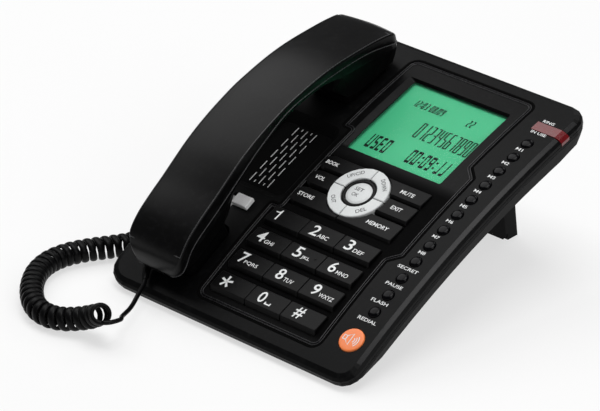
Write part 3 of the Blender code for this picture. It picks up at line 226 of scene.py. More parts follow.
silicone, shader, place = new_finish("mat_silicone")
bloom = noise(place, 0.008, 4.0)
Dial(shader["Base Color"]).take(bloom.tint((0.30, 0.31, 0.31), (0.42, 0.43, 0.42)))
Dial(shader["Roughness"]).take(bloom * 0.15 + 0.55)
Dial(shader["Normal"]).take(
    place.add(
        "ShaderNodeBump", {}, {"Strength": 0.3, "Distance": 0.00005, "Height": noise(place, 0.0005)}
    )
)
dress(silicone, "key_mat")

steel, shader, place = new_finish("pressed_steel")
drawn = noise(place, 0.0009, 3.0)
spots = noise(place, 0.012, 5.0).between(0.4, 0.75)
Dial(shader["Base Color"]).take(spots.tint((0.30, 0.30, 0.31), (0.22, 0.21, 0.20)))
Dial(shader["Roughness"]).take(drawn * 0.12 + spots * 0.2 + 0.28)
Dial(shader["Metallic"]).take(spots * -0.2 + 0.9)
Dial(shader["Normal"]).take(
    place.add("ShaderNodeBump", {}, {"Strength": 0.3, "Distance": 0.00005, "Height": drawn})
)
dress(steel, "loudspeaker", "handset_receiver", "handset_microphone", "handset_ballast")

# Top cover: one black ABS moulding, curved from front to rear, with two wells for the cups of the
# handset and a hollow for the fingers. Its legends are pad printed in white ink, and a pale
# insert is pressed up into the slots of the grille from inside.
front_slope = math.radians(32.1)
panel_radius = 0.743
foot_setback = 0.009
front_edge_height = 0.010
recess_depth = 0.006
grille_front = 0.0947
grille_x = -0.0605
grille_column_pitch = 0.0037
grille_row_pitch = 0.0103
slot_length = 0.0074
rib_width = 0.0009
rib_sunk = 0.0003
rib_height = 0.0012

# The hollow under the handset is darkened towards black in this finish as painted shade, and made
# matte.
shell_plastic = moulded(
    "shell_plastic",
    (0.0018, 0.0019, 0.0021),
    0.46,
    gloss=0.09,
    painted_shade_area=(-0.093, -0.030, 0.052, 0.140, 0.02),
)
dress(shell_plastic, "top_cover")


def on_panel(x, s, h=0.0):
    """The place at x, s along the curved panel from its front edge, and h above it."""
    slope = front_slope - s / panel_radius
    y = panel_radius * (math.sin(front_slope) - math.sin(slope)) - h * math.sin(slope)
    z = panel_radius * (math.cos(slope) - math.cos(front_slope)) + h * math.cos(slope)
    return Vector((x, y - foot_setback, z + front_edge_height))


def made_object(name, mesh, finish, body, smooth=True):
    """The finished piece of a bmesh, riding on its body."""
    bmesh.ops.recalc_face_normals(mesh, faces=mesh.faces)
    data = bpy.data.meshes.new(name)
    mesh.to_mesh(data)
    mesh.free()
    data.materials.append(finish)
    if smooth:
        data.shade_smooth()
    piece = bpy.data.objects.new(name, data)
    bpy.context.scene.collection.objects.link(piece)
    if body:
        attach(piece, body)
    return piece


def skin(mesh, rings, ends=True):
    """Faces between rings of equal length, with a face on each end."""
    made = [[mesh.verts.new(point) for point in ring] for ring in rings]
    count = len(made[0])
    for low, high in zip(made, made[1:]):
        for k in range(count):
            n = (k + 1) % count
            mesh.faces.new((low[k], low[n], high[n], high[k]))
    if ends:
        mesh.faces.new(made[0])
        mesh.faces.new(made[-1])
    return made


def round_slab(x, s, width, length, corner, steps=5):
    """The outline of a rectangle with round corners, as (x, s) pairs."""
    points = []
    for quarter, (side, end) in enumerate(((1, 1), (-1, 1), (-1, -1), (1, -1))):
        for k in range(steps + 1):
            turn = math.pi / 2 * (quarter + k / steps)
            across = side * (width / 2 - corner) + corner * math.cos(turn)
            along = end * (length / 2 - corner) + corner * math.sin(turn)
            points.append((x + across, s + along))
    return points


insert_plastic = moulded("insert_plastic", (0.82, 0.83, 0.83), 0.5, wear_and_highlight=0.0, gloss=0.4)
mesh = bmesh.new()
grille_rear = grille_front + grille_row_pitch * 4 + slot_length
for column in range(5):
    x = grille_x + (column - 2) * grille_column_pitch
    staggered = column % 2
    for row in range(5 + staggered):
        s = grille_front + (row - staggered / 2) * grille_row_pitch
        front, rear = max(s, grille_front), min(s + slot_length, grille_rear)
        shape = round_slab(x, (front + rear) / 2, rib_width, rear - front - 0.0002, 0.0004, 3)
        top = -recess_depth - rib_sunk
        skin(mesh, [[on_panel(*p, h) for p in shape] for h in (top - rib_height, top)])
made_object("grille_insert", mesh, insert_plastic, "base", smooth=False)

# White ink of every legend: an opaque pad print about 20 micrometres thick.
ink, shader, place = new_finish("white_ink")
thin = noise(place, 0.0004, 3.0).between(0.25, 0.6)
Dial(shader["Base Color"]).take(thin.tint((0.62, 0.63, 0.63), (0.80, 0.81, 0.81)))
Dial(shader["Roughness"]).take(thin * -0.15 + 0.6)
Dial(shader["Normal"]).take(
    place.add("ShaderNodeBump", {}, {"Strength": 0.2, "Distance": 0.00002, "Height": thin})
)


def surface(name):
    mesh = bmesh.new()
    mesh.from_mesh(nodes[name].data)
    tree = BVHTree.FromBMesh(mesh)
    mesh.free()
    return tree


def laid_on(tree, x, s, lift):
    """The place on a surface under the panel point x, s, and lift above it."""
    above = on_panel(x, s, 0.02)
    down = (on_panel(x, s) - above).normalized()
    found = tree.ray_cast(above, down)[0]
    return (found or on_panel(x, s)) - down * lift


def pad_print(name, words, x, s, height, width, carrier, body, finish=ink, turn=0.0, weight=0.014):
    """A legend pad printed on a node, its middle at x, s, drawn to a height and width."""
    text = bpy.data.curves.new(name, "FONT")
    text.body = words
    text.resolution_u = 3
    text.offset = weight
    letters = bpy.data.objects.new(name, text)
    bpy.context.scene.collection.objects.link(letters)
    bpy.context.view_layer.update()
    flat = bpy.data.meshes.new_from_object(letters)
    bpy.data.objects.remove(letters)
    mesh = bmesh.new()
    mesh.from_mesh(flat)
    bmesh.ops.triangulate(mesh, faces=mesh.faces)
    xs = [v.co.x for v in mesh.verts]
    ys = [v.co.y for v in mesh.verts]
    taller, wider = height / (max(ys) - min(ys)), width / (max(xs) - min(xs))
    tree = surface(carrier)
    for v in mesh.verts:
        across = (v.co.x - (max(xs) + min(xs)) / 2) * wider
        along = (v.co.y - (max(ys) + min(ys)) / 2) * taller
        here = x + across * math.cos(turn) - along * math.sin(turn)
        there = s + across * math.sin(turn) + along * math.cos(turn)
        v.co = laid_on(tree, here, there, 0.00005)
    return made_object(name, mesh, finish, body, smooth=False)


first_memory_legend = 0.1847
round_key_pitch = 0.01338
for k in range(8):
    place_s = first_memory_legend - k * round_key_pitch
    name = f"legend_memory_{k + 1}"
    pad_print(name, f"M{k + 1}", 0.0750, place_s, 0.0023, 0.0050, "top_cover", "base")
side_legends = (
    ("SECRET", 0.0750, 0.0775, 0.0150), ("PAUSE", 0.0748, 0.0643, 0.0125),
    ("FLASH", 0.0742, 0.0509, 0.0123), ("REDIAL", 0.0754, 0.0372, 0.0138),
    ("RING", 0.0756, 0.2122, 0.0082), ("IN USE", 0.0762, 0.2014, 0.0110),
)  # fmt: skip
for words, x, s, width in side_legends:
    name = "legend_" + words.lower().replace(" ", "_")
    pad_print(name, words, x, s, 0.0023, width, "top_cover", "base")

# The right-hand edge slope is polished, and its base colour is made lighter than the grained top as
# a painted sheen, so it shows as a lighter band.
sheen_band_plastic = moulded("sheen_band_plastic", (0.006, 0.006, 0.0066), 0.32, depth=0.00001, gloss=0.16)
panel_right = 0.0875
for name, front, rear in (("edge_band_front", 0.0105, 0.2022), ("edge_band_rear", 0.2106, 0.2200)):
    mesh = bmesh.new()
    steps = round((rear - front) / 0.004)
    rings = []
    for k in range(steps + 1):
        s = front + (rear - front) * k / steps
        shape = ((0.0001, -0.0003), (0.0002, 0.00002), (0.0029, -0.00106), (0.0029, -0.0014))
        rings.append([on_panel(panel_right + x, s, h) for x, h in shape])
    skin(mesh, rings)
    made_object(name, mesh, sheen_band_plastic, "base", smooth=False)

# Ring lamp: a lens of red transparent acrylic that wraps over the rear right edge. An LED on the
# board lights it from inside, and it snaps into its slot from outside.
lamp, shader, place = new_finish("lamp_acrylic")
glow = noise(place, 0.004, 2.0)
bars = (Dial(place.add("ShaderNodeSeparateXYZ", {}, {0: place}).socket.node.outputs[0]) * 2600.0)
rib = bars.sum("SINE", bars) * 0.5 + 0.5
Dial(shader["Base Color"]).take(glow.tint((0.07, 0.001, 0.003), (0.15, 0.003, 0.006)))
Dial(shader["Roughness"]).take(glow * 0.08 + 0.10)
Dial(shader["Emission Color"]).take(glow.tint((0.35, 0.004, 0.006), (0.6, 0.012, 0.014)))
shader["Emission Strength"].default_value = 0.03
Dial(shader["Normal"]).take(
    place.add("ShaderNodeBump", {}, {"Strength": 0.15, "Distance": 0.0001, "Height": rib})
)
dress(lamp, "ring_lamp")

# Keypad frame: a separate inset panel in satin black ABS that drops into the top cover. Raised
# beads in a paler grey, which paints a highlight on them, run round its edge; a matte black strip
# in the joint beside them paints its shade as a dark line; and the floor round the keys is darkened
# towards black as painted shade, and made matte.
frame_plastic = moulded(
    "frame_plastic",
    (0.0016, 0.0016, 0.0018),
    0.42,
    gloss=0.08,
    painted_shade_area=(-0.0375, 0.0655, -0.002, 0.116, 0.008),
)
dress(frame_plastic, "keypad_frame")
frame_corners = (
    (-0.038, 0.0085), (0.0585, 0.0085), (0.0585, 0.077), (0.066, 0.084), (0.066, 0.152),
    (0.0585, 0.159), (0.0585, 0.222), (-0.038, 0.222), (-0.038, 0.1529), (-0.0311, 0.1529),
    (-0.0311, 0.0836), (-0.038, 0.0836),
)  # fmt: skip
frame_radii = (0.006, 0.006, 0.002, 0.002, 0.002, 0.002, 0.006, 0.006, 0.002, 0.002, 0.002, 0.002)
frame_drop = 0.0006


def frame_line(inset, step=0.004):
    """The frame's outline moved inwards by inset, in short even steps with round corners."""
    corners = [Vector(c) for c in frame_corners]
    count = len(corners)
    moved, outwards = [], []
    for i, corner in enumerate(corners):
        ahead, behind = corners[(i + 1) % count] - corner, corner - corners[i - 1]
        a = Vector((behind.y, -behind.x)).normalized()
        b = Vector((ahead.y, -ahead.x)).normalized()
        moved.append(corner - (a + b) * (inset / (1 + a.dot(b))))
        outwards.append(behind.cross(ahead) > 0)
    points = []
    for i, corner in enumerate(moved):
        behind = (moved[i - 1] - corner).normalized()
        ahead = (moved[(i + 1) % count] - corner).normalized()
        radius = max(0.0006, frame_radii[i] - inset * (1 if outwards[i] else -1))
        half = behind.angle(ahead) / 2
        run = radius / math.tan(half)
        centre = corner + (behind + ahead).normalized() * (radius / math.sin(half))
        start, end = corner + behind * run - centre, corner + ahead * run - centre
        sweep = start.angle_signed(end)
        for k in range(7):
            points.append(centre + Matrix.Rotation(-sweep * k / 6, 2) @ start)
    fine = []
    for i, point in enumerate(points):
        after = points[(i + 1) % len(points)]
        steps = max(1, round((after - point).length / step))
        fine += [point.lerp(after, k / steps) for k in range(steps)]
    return fine


def rim(name, across, finish):
    """A closed moulding round the frame: rows of (inset, height) give its section."""
    mesh = bmesh.new()
    lines = []
    for inset, h in across:
        line = frame_line(inset)
        lines.append([mesh.verts.new(on_panel(p.x, p.y, h)) for p in line])
    count = min(len(line) for line in lines)
    for low, high in zip(lines, lines[1:] + lines[:1]):
        for k in range(count):
            n = (k + 1) % count
            mesh.faces.new((low[k], low[n], high[n], high[k]))
    return made_object(name, mesh, finish, "base")


def bead(name, inset, width, rise, finish):
    base = -frame_drop - 0.0002
    across = [(inset - width / 2, base), (inset - width / 2, -frame_drop + rise * 0.5)]
    across += [(inset - width / 4, -frame_drop + rise * 0.93), (inset, -frame_drop + rise)]
    across += [(inset + width / 4, -frame_drop + rise * 0.93)]
    across += [(inset + width / 2, -frame_drop + rise * 0.5)]
    across += [(inset + width / 2, base)]
    return rim(name, across, finish)


# The beads' pale grey is a painted highlight along the frame's edge.
rim_highlight_grey = (0.020, 0.020, 0.022)
rim_highlight_plastic = moulded("rim_highlight_plastic", rim_highlight_grey, 0.30, depth=0.00001, wear_and_highlight=0.0, gloss=0.3)
bead("rim_bead_outer", 0.00085, 0.0005, 0.00045, rim_highlight_plastic)
bead("rim_bead_inner", 0.0023, 0.0006, 0.00045, rim_highlight_plastic)
# A matte black strip laid in the joint beside the frame paints the shade of its groove.
joint_shade, shader, place = new_finish("joint_shade_strip")
pores = noise(place, 0.0005, 2.0)
Dial(shader["Base Color"]).take(pores.tint((0.0008, 0.0008, 0.0008), (0.0016, 0.0016, 0.0016)))
Dial(shader["Roughness"]).take(pores * 0.1 + 0.88)
shader["Specular IOR Level"].default_value = 0.05
Dial(shader["Normal"]).take(
    place.add("ShaderNodeBump", {}, {"Strength": 0.2, "Distance": 0.00003, "Height": pores})
)
joint = [(0.0004, -0.0007), (0.0004, -0.00035), (0.0, 0.00004)]
joint += [(-0.0014, 0.00006), (-0.0015, -0.0001), (0.0, -0.0005)]
rim("joint_shade_strip", joint, joint_shade)

# Display: a reflective liquid crystal panel with a green-blue backing under a clear acrylic lens.
# Its dark, thin segments show a date, a count, a sample number and a talk time.
lens, shader, place = new_finish("lens_acrylic")
haze = noise(place, 0.012, 4.0)
scuff = noise(place, 0.0015, 5.0, 0.7).between(0.55, 0.8)
Dial(shader["Base Color"]).take(haze.tint((0.10, 0.16, 0.14), (0.14, 0.20, 0.18)))
Dial(shader["Roughness"]).take(scuff * 0.08 + haze * 0.04 + 0.03)
Dial(shader["Alpha"]).take(scuff * 0.02 + 0.03)
Dial(shader["Normal"]).take(
    place.add("ShaderNodeBump", {}, {"Strength": 0.1, "Distance": 0.00003, "Height": scuff})
)
dress(lens, "display_window")

glass, shader, place = new_finish("display_backing")
pearl = noise(place, 0.0003, 2.0)
cloud = noise(place, 0.03, 2.0)
mixed = cloud * 0.7 + pearl * 0.3
Dial(shader["Base Color"]).take(mixed.tint((0.045, 0.44, 0.20), (0.080, 0.58, 0.29)))
Dial(shader["Roughness"]).take(pearl * 0.15 + 0.3)
shader["Specular IOR Level"].default_value = 0.10
Dial(shader["Normal"]).take(
    place.add("ShaderNodeBump", {}, {"Strength": 0.2, "Distance": 0.00002, "Height": pearl})
)
dress(glass, "display_panel")

crystal, shader, place = new_finish("dark_segments")
pearl = noise(place, 0.0002, 2.0)
Dial(shader["Base Color"]).take(pearl.tint((0.0015, 0.008, 0.005), (0.004, 0.016, 0.010)))
Dial(shader["Roughness"]).take(pearl * 0.1 + 0.35)
shader["Specular IOR Level"].default_value = 0.05
Dial(shader["Normal"]).take(
    place.add("ShaderNodeBump", {}, {"Strength": 0.1, "Distance": 0.00001, "Height": pearl})
)

# The seven bars of a digit from the top, clockwise, and the middle one last; then the
# two dots of a colon and a slash.
bars_lit = {
    "0": "abcdef", "1": "bc", "2": "abged", "3": "abgcd", "4": "fgbc", "5": "afgcd",
    "6": "afgedc", "7": "abc", "8": "abcdefg", "9": "abcdfg", "U": "bcdef", "S": "afgcd",
    "E": "adefg", "D": "abcdef", "l": "bcd", "-": "g", ":": "xy", "/": "z",
}  # fmt: skip


def digit_bars(width, height, flat, upright, lean):
    """Corner points of each bar of a digit; flat bars and upright ones have their own width."""
    half, gap = height / 2, upright * 0.2
    bars = {}
    for name, low in (("a", height - flat), ("g", half - flat / 2), ("d", 0.0)):
        left, right, slant = upright * 0.7 + gap, width - upright * 0.7 - gap, upright / 2
        lower, upper = low, low + flat
        bars[name] = [(left, lower), (right, lower), (right + slant, (lower + upper) / 2)]
        bars[name] += [(right, upper), (left, upper), (left - slant, (lower + upper) / 2)]
    for name, left, low in (("f", 0.0, half), ("b", width - upright, half), ("e", 0.0, 0.0)):
        bars[name] = [(left, low + gap), (left + upright, low + gap)]
        bars[name] += [(left + upright, low + half - gap), (left, low + half - gap)]
    left = width - upright
    bars["c"] = [(left, gap), (left + upright, gap)]
    bars["c"] += [(left + upright, half - gap), (left, half - gap)]
    middle, dot = width * 0.3, upright * 0.8
    for name, low in (("x", height * 0.24), ("y", height * 0.62)):
        rise = height * 0.14
        bars[name] = [(middle - dot, low), (middle + dot, low)]
        bars[name] += [(middle + dot, low + rise), (middle - dot, low + rise)]
    bars["z"] = [(0.0, 0.0), (upright, 0.0), (width * 0.8, height), (width * 0.8 - upright, height)]
    return {name: [(x + lean * y, y) for x, y in shape] for name, shape in bars.items()}


def show(name, words, left, s, size, pitch, strokes, lean):
    """A row of digits on the display, its lower left corner at left, s."""
    tree = surface("display_panel")
    mesh = bmesh.new()
    for letter in words:
        bars = digit_bars(*size, *strokes, lean)
        for bar in bars_lit[letter]:
            shape = [(left + x, s + y) for x, y in bars[bar]]
            mesh.faces.new([mesh.verts.new(laid_on(tree, x, y, 0.00004)) for x, y in shape])
        left += pitch * (0.62 if letter in ":/-" else 1.0)
    made_object(name, mesh, crystal, "base", smooth=False)


rows = (
    ("date", "12:03-08/09", -0.0150, 0.1902, (0.0019, 0.0060), 0.0024, (0.0009, 0.0008), 0.10),
    ("count", "22", 0.0270, 0.1900, (0.0020, 0.0060), 0.0027, (0.0009, 0.0008), 0.10),
    ("number", "01234567890", 0.0030, 0.1676, (0.0031, 0.0138), 0.00393, (0.0010, 0.0010), 0.0),
    ("used", "USED", -0.0188, 0.1476, (0.0033, 0.0122), 0.0041, (0.0022, 0.0009), 0.0),
    ("time", "00:09:ll", 0.0130, 0.1476, (0.0033, 0.0122), 0.0042, (0.0022, 0.0009), 0.0),
)
for name, words, left, s, size, pitch, strokes, lean in rows:
    show("segments_" + name, words, left, s, size, pitch, strokes, lean)

# Number keys: twelve long ABS keys in three columns, each lower at its rear than at its front, so
# that a thumb finds each row. They stand on the silicone mat, and are printed in white ink.
key_black = (0.0018, 0.0018, 0.0020)
key_plastic = moulded("key_plastic", key_black, 0.42, edge=0.0004, wear_and_highlight=0.9, gloss=0.10)
number_marks = (
    ("key_2", "2", 0.00485, 0.07615, 0.0057, "ABC", 0.01250, 0.0080),
    ("key_3", "3", 0.03200, 0.07615, 0.0054, "DEF", 0.04025, 0.0076),
    ("key_4", "4", -0.0240, 0.05880, 0.0060, "GHI", -0.01640, 0.0069),
    ("key_5", "5", 0.00545, 0.05880, 0.0055, "JKL", 0.01265, 0.0064),
    ("key_6", "6", 0.03285, 0.05880, 0.0053, "MNO", 0.04150, 0.0090),
    ("key_7", "7", -0.02425, 0.0413, 0.0058, "PQRS", -0.01675, 0.0104),
    ("key_8", "8", 0.00560, 0.04130, 0.0053, "TUV", 0.01335, 0.0074),
    ("key_9", "9", 0.03355, 0.04130, 0.0054, "WXYZ", 0.04300, 0.0110),
    ("key_0", "0", 0.00550, 0.02330, 0.0051, "", 0, 0),
    ("key_hash", "#", 0.03430, 0.02350, 0.0067, "", 0, 0),
)  # fmt: skip
for name, mark, x, s, width, letters, letters_x, letters_width in number_marks:
    dress(key_plastic, name)
    pad_print("mark_" + name, mark, x, s, 0.0081, width, name, name, weight=0.012)
    if letters:
        low, label = s - 0.0024, "letters_" + name
        pad_print(label, letters, letters_x, low, 0.0029, letters_width, name, name, weight=0.01)

# The digit one, the star and the space mark are drawn as plain strokes.
dress(key_plastic, "key_1", "key_star")


def stroke_print(name, shapes, x, s, carrier, body, finish=ink, lift=0.00005):
    """Flat shapes, each a list of corner points from x, s, printed on a node."""
    tree = surface(carrier)
    mesh = bmesh.new()
    for shape in shapes:
        mesh.faces.new([mesh.verts.new(laid_on(tree, x + a, s + b, lift)) for a, b in shape])
    return made_object(name, mesh, finish, body, smooth=False)


stem = [(0.0009, -0.0041), (0.0020, -0.0041), (0.0020, 0.0040), (0.0012, 0.0040), (0.0009, 0.0030)]
flag = [(0.0009, 0.0014), (0.0009, 0.0030), (0.0002, 0.0022), (-0.0020, 0.0019), (-0.0020, 0.0012)]
stroke_print("mark_key_1", [stem, flag], -0.0260, 0.0762, "key_1", "key_1")
arms = []
for k in range(5):
    turn = math.pi / 2 + 2 * math.pi * k / 5
    ahead = Vector((math.cos(turn), math.sin(turn))) * 0.0043
    side = Vector((-math.sin(turn), math.cos(turn)))
    corners = (side * -0.0006, ahead - side * 0.0008, ahead + side * 0.0008, side * 0.0006)
    arms.append([(c.x, c.y) for c in corners])
stroke_print("mark_key_star", arms, -0.0232, 0.0229, "key_star", "key_star")
space = [[(0.0, 0.0), (0.0046, 0.0), (0.0046, 0.0009), (0.0, 0.0009)]]
space += [[(0.0, 0.0009), (0.0009, 0.0009), (0.0009, 0.0019), (0.0, 0.0019)]]
space += [[(0.0037, 0.0009), (0.0046, 0.0009), (0.0046, 0.0019), (0.0037, 0.0019)]]
stroke_print("mark_space", space, 0.0095, 0.0193, "key_0", "key_0")

mesh = bmesh.new()
tree = surface("key_5")
pip_radius, pip_rise = 0.0007, 0.0004
rings = []
for k in range(5):
    turn = math.pi / 2 * k / 5
    reach, rise = pip_radius * math.cos(turn), pip_rise * math.sin(turn)
    ring = []
    for a in range(16):
        x = 0.0189 + reach * math.cos(a * math.pi / 8)
        s = 0.0587 + reach * math.sin(a * math.pi / 8)
        ring.append(laid_on(tree, x, s, rise - 0.00005))
    rings.append(ring)
skin(mesh, rings)
made_object("key_5_pip", mesh, key_plastic, "key_5")

# Function keys: six wide ABS keys in three rows on both sides of the control ring, cut away round
# it and sprung by the same mat, each with a printed word near its outer end.
function_marks = (
    ("book_key", "BOOK", -0.02125, 0.1237, 0.0096),
    ("volume_key", "VOL", -0.02085, 0.1110, 0.0074),
    ("store_key", "STORE", -0.0198, 0.0960, 0.0121),
    ("mute_key", "MUTE", 0.0381, 0.1236, 0.0103),
    ("exit_key", "EXIT", 0.0395, 0.1112, 0.0081),
    ("memory_key", "MEMORY", 0.0370, 0.0958, 0.0165),
)
for name, words, x, s, width in function_marks:
    dress(key_plastic, name)
    pad_print("word_" + name, words, x, s, 0.0030, width, name, name)

# Control ring: four quarter keys and a round one in pale grey ABS, printed in dark grey ink. They
# work the contacts under them through the same silicone mat.
ring_plastic = moulded("ring_plastic", (0.64, 0.66, 0.66), 0.42, depth=0.00002, wear_and_highlight=0.0, gloss=0.5)
grey_ink, shader, place = new_finish("grey_ink")
thin = noise(place, 0.0004, 3.0)
Dial(shader["Base Color"]).take(thin.tint((0.025, 0.027, 0.03), (0.05, 0.052, 0.056)))
Dial(shader["Roughness"]).take(thin * 0.1 + 0.5)
Dial(shader["Normal"]).take(
    place.add("ShaderNodeBump", {}, {"Strength": 0.2, "Distance": 0.00002, "Height": thin})
)
ring_x, ring_s = 0.00955, 0.11149
ring_marks = (
    ("up_key", "UP/CID", 0.0154, 135.0, 45.0, 0.0108),
    ("down_key", "DOWN", 0.0156, 45.0, -45.0, 0.0098),
    ("delete_key", "DEL", 0.0154, -45.0, 45.0, 0.0068),
    ("out_key", "OUT", 0.0154, -135.0, -45.0, 0.0066),
)
for name, words, reach, angle, turn, width in ring_marks:
    dress(ring_plastic, name)
    x = ring_x + reach * math.cos(math.radians(angle))
    s = ring_s + reach * math.sin(math.radians(angle))
    turn, label = math.radians(turn), "word_" + name
    pad_print(label, words, x, s, 0.0027, width, name, name, grey_ink, turn, 0.01)
dress(ring_plastic, "ok_key")
x, name = ring_x - 0.0009, "ok_key"
for words, rise, width in (("SET", 0.0021, 0.0064), ("OK", -0.0023, 0.0048)):
    label, s = "word_" + words.lower(), ring_s + rise
    pad_print(label, words, x, s, 0.0027, width, name, name, grey_ink, 0, 0.01)

# A black collar fills the ring between the quarter keys and the round one.
collar_plastic = moulded("collar_plastic", (0.0016, 0.0016, 0.0018), 0.30, wear_and_highlight=0.0, gloss=0.10)
mesh = bmesh.new()
rings = []
collar_sides = 48
collar_section = [(0.00865, -0.0006), (0.00865, 0.0007), (0.0090, 0.0009)]
collar_section += [(0.0106, 0.0009), (0.0109, 0.0006), (0.0109, -0.0006)]
for radius, h in collar_section:
    ring = []
    for k in range(collar_sides):
        turn = 2 * math.pi * k / collar_sides
        x, s = ring_x + radius * math.cos(turn), ring_s + radius * math.sin(turn)
        ring.append(mesh.verts.new(on_panel(x, s, h)))
    rings.append(ring)
for low, high in zip(rings, rings[1:] + rings[:1]):
    for k in range(collar_sides):
        n = (k + 1) % collar_sides
        mesh.faces.new((low[k], low[n], high[n], high[k]))
# A thin black fin shows in the joint between two quarter keys.
fin_inner, fin_outer, fin_half, fin_foot, fin_top = 0.0106, 0.0206, 0.00018, -0.0006, 0.0010
for angle in (0, 90, 180, 270):
    ahead = Vector((math.cos(math.radians(angle)), math.sin(math.radians(angle)), 0))
    side = Vector((-ahead.y, ahead.x, 0)) * fin_half
    inner, outer = ahead * fin_inner, ahead * fin_outer
    foot = [inner - side, outer - side, outer + side, inner + side]
    levels = []
    for h in (fin_foot, fin_top):
        levels.append([on_panel(ring_x + p.x, ring_s + p.y, h) for p in foot])
    skin(mesh, levels)
made_object("ring_collar", mesh, collar_plastic, "base")

# Round keys and speaker key: twelve small glossy black domes and a wider orange key in the holes
# of the top cover. Each is an ABS cap with a flange under the cover, sprung by the mat.
dome_plastic, shader, place = new_finish("dome_plastic")
haze = noise(place, 0.002, 4.0)
scuff = noise(place, 0.0004, 3.0).between(0.6, 0.8)
Dial(shader["Base Color"]).take(haze.tint((0.0006, 0.0006, 0.0010), (0.0016, 0.0016, 0.0024)))
Dial(shader["Roughness"]).take(haze * 0.08 + scuff * 0.1 + 0.10)
shader["Specular IOR Level"].default_value = 0.10
Dial(shader["Normal"]).take(
    place.add("ShaderNodeBump", {}, {"Strength": 0.1, "Distance": 0.00002, "Height": scuff})
)
orange = (0.84, 0.21, 0.055)
orange_plastic = moulded("orange_plastic", orange, 0.36, depth=0.00002, wear_and_highlight=0.0, gloss=0.5)
cap_sides = 32


def cap_key(name, x, s, radius, rise, slope, finish):
    """A round key cap: its flange under the cover, its side and its crowned top."""
    profile = [(1.10, -0.0032), (1.10, -0.0026), (1.0, -0.0026)]
    profile += [(slope_share, rise * share) for slope_share, share in slope]
    mesh = bmesh.new()
    rings = []
    turns = [2 * math.pi * k / cap_sides for k in range(cap_sides)]
    for share, h in profile:
        reach = radius * share
        rings.append([on_panel(x + reach * math.cos(t), s + reach * math.sin(t), h) for t in turns])
    skin(mesh, rings)
    cap = made_object(name + "_cap", mesh, finish, name)
    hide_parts(name)
    return cap


dome_slope = [(1.0, 0.05), (0.985, 0.25), (0.93, 0.50), (0.82, 0.72)]
dome_slope += [(0.64, 0.88), (0.42, 0.97), (0.15, 1.0)]
round_key_x, first_round_key_s, dome_radius, dome_rise = 0.076, 0.1908, 0.00375, 0.0013
round_keys = [f"memory_key_{k}" for k in range(1, 9)]
round_keys += ["secret_key", "pause_key", "flash_key", "redial_key"]
for k, name in enumerate(round_keys):
    s = first_round_key_s - k * round_key_pitch
    cap = cap_key(name, round_key_x, s, dome_radius, dome_rise, dome_slope, dome_plastic)

speaker_x, speaker_s, speaker_radius, speaker_rise = 0.0753, 0.0220, 0.0079, 0.0009
disc_slope = ((1.0, 0.2), (0.985, 0.6), (0.95, 0.85), (0.88, 0.95), (0.6, 0.99), (0.3, 1.0))
speaker_cap = cap_key(
    "speaker_key",
    speaker_x,
    speaker_s,
    speaker_radius,
    speaker_rise,
    disc_slope,
    orange_plastic,
)


def strip_of(points, width):
    """Both edges of a line of even width, as pairs of points."""
    pairs = []
    for k, (x, s) in enumerate(points):
        ahead, behind = points[min(k + 1, len(points) - 1)], points[max(k - 1, 0)]
        along = Vector((ahead[0] - behind[0], ahead[1] - behind[1])).normalized()
        side = Vector((-along.y, along.x)) * (width / 2)
        pairs.append(((x + side.x, s + side.y), (x - side.x, s - side.y)))
    return pairs


mesh = bmesh.new()
line = 0.00055
horn = [(-0.0056, -0.0014), (-0.0056, 0.0014), (-0.0034, 0.0014), (-0.0002, 0.0040)]
horn += [(-0.0002, -0.0040), (-0.0034, -0.0014), (-0.0056, -0.0014)]
strokes = [horn, [(-0.0034, -0.0014), (-0.0034, 0.0014)]]
for radius in (0.0022, 0.0036, 0.0050):
    turns = [math.radians(-42 + 84 * k / 10) for k in range(11)]
    strokes.append([(radius * math.cos(t), radius * math.sin(t)) for t in turns])
for stroke in strokes:
    previous = None
    for pair in strip_of(stroke, line):
        made = []
        for x, s in pair:
            made.append(mesh.verts.new(on_panel(speaker_x + x, speaker_s + s, 0.00096)))
        if previous:
            mesh.faces.new((previous[0], previous[1], made[1], made[0]))
        previous = made
made_object("speaker_mark", mesh, ink, "speaker_key", smooth=False)

# Hook switch: a sprung white acetal pad beside the mouthpiece. Its arm reaches under the
# mouthpiece, so the weight of the handset holds it down.
hook_plastic = moulded("hook_plastic", (0.95, 0.95, 0.95), 0.45, depth=0.00002, wear_and_highlight=0.0, gloss=0.5)
dress(hook_plastic, "hook_switch")

# Handset: two ABS half shells that meet on a curved seam, screwed together round the receiver, the
# microphone and a steel weight. The outer half is a broad, flat-topped bar, rounded on its long
# edges, with a fine moulded line along each of them, whose paler grey is a painted highlight.
handset_centre = -0.064
handset_front = 0.0080
handset_length = 0.2094
handset_width = 0.044
handset_rise = 0.0426
front_corner, rear_corner = 0.011, 0.006
edge_round = 0.0014
crown = 0.0012
seam_round = 0.0005
top_share = (
    (0.0, 0.27), (0.006, 0.38), (0.018, 0.495), (0.04, 0.60), (0.067, 0.675), (0.105, 0.735),
    (0.153, 0.775), (0.216, 0.817), (0.277, 0.873), (0.334, 0.925), (0.397, 0.962),
    (0.4675, 0.981), (0.534, 0.986), (0.606, 0.965), (0.6765, 0.932), (0.7395, 0.885),
    (0.854, 0.758), (0.935, 0.655), (0.976, 0.582), (1.0, 0.48),
)  # fmt: skip
seam_share = (
    (0.0, 0.249), (0.018, 0.293), (0.04, 0.40), (0.067, 0.493), (0.105, 0.545), (0.153, 0.575),
    (0.20, 0.605), (0.314, 0.71), (0.412, 0.812), (0.549, 0.893), (0.63, 0.85), (0.753, 0.744),
    (0.874, 0.60), (0.985, 0.385), (1.0, 0.36),
)  # fmt: skip
handset_black = (0.0018, 0.0018, 0.0020)
handset_plastic = moulded("handset_plastic", handset_black, 0.34, grain=0.0006, gloss=0.13)


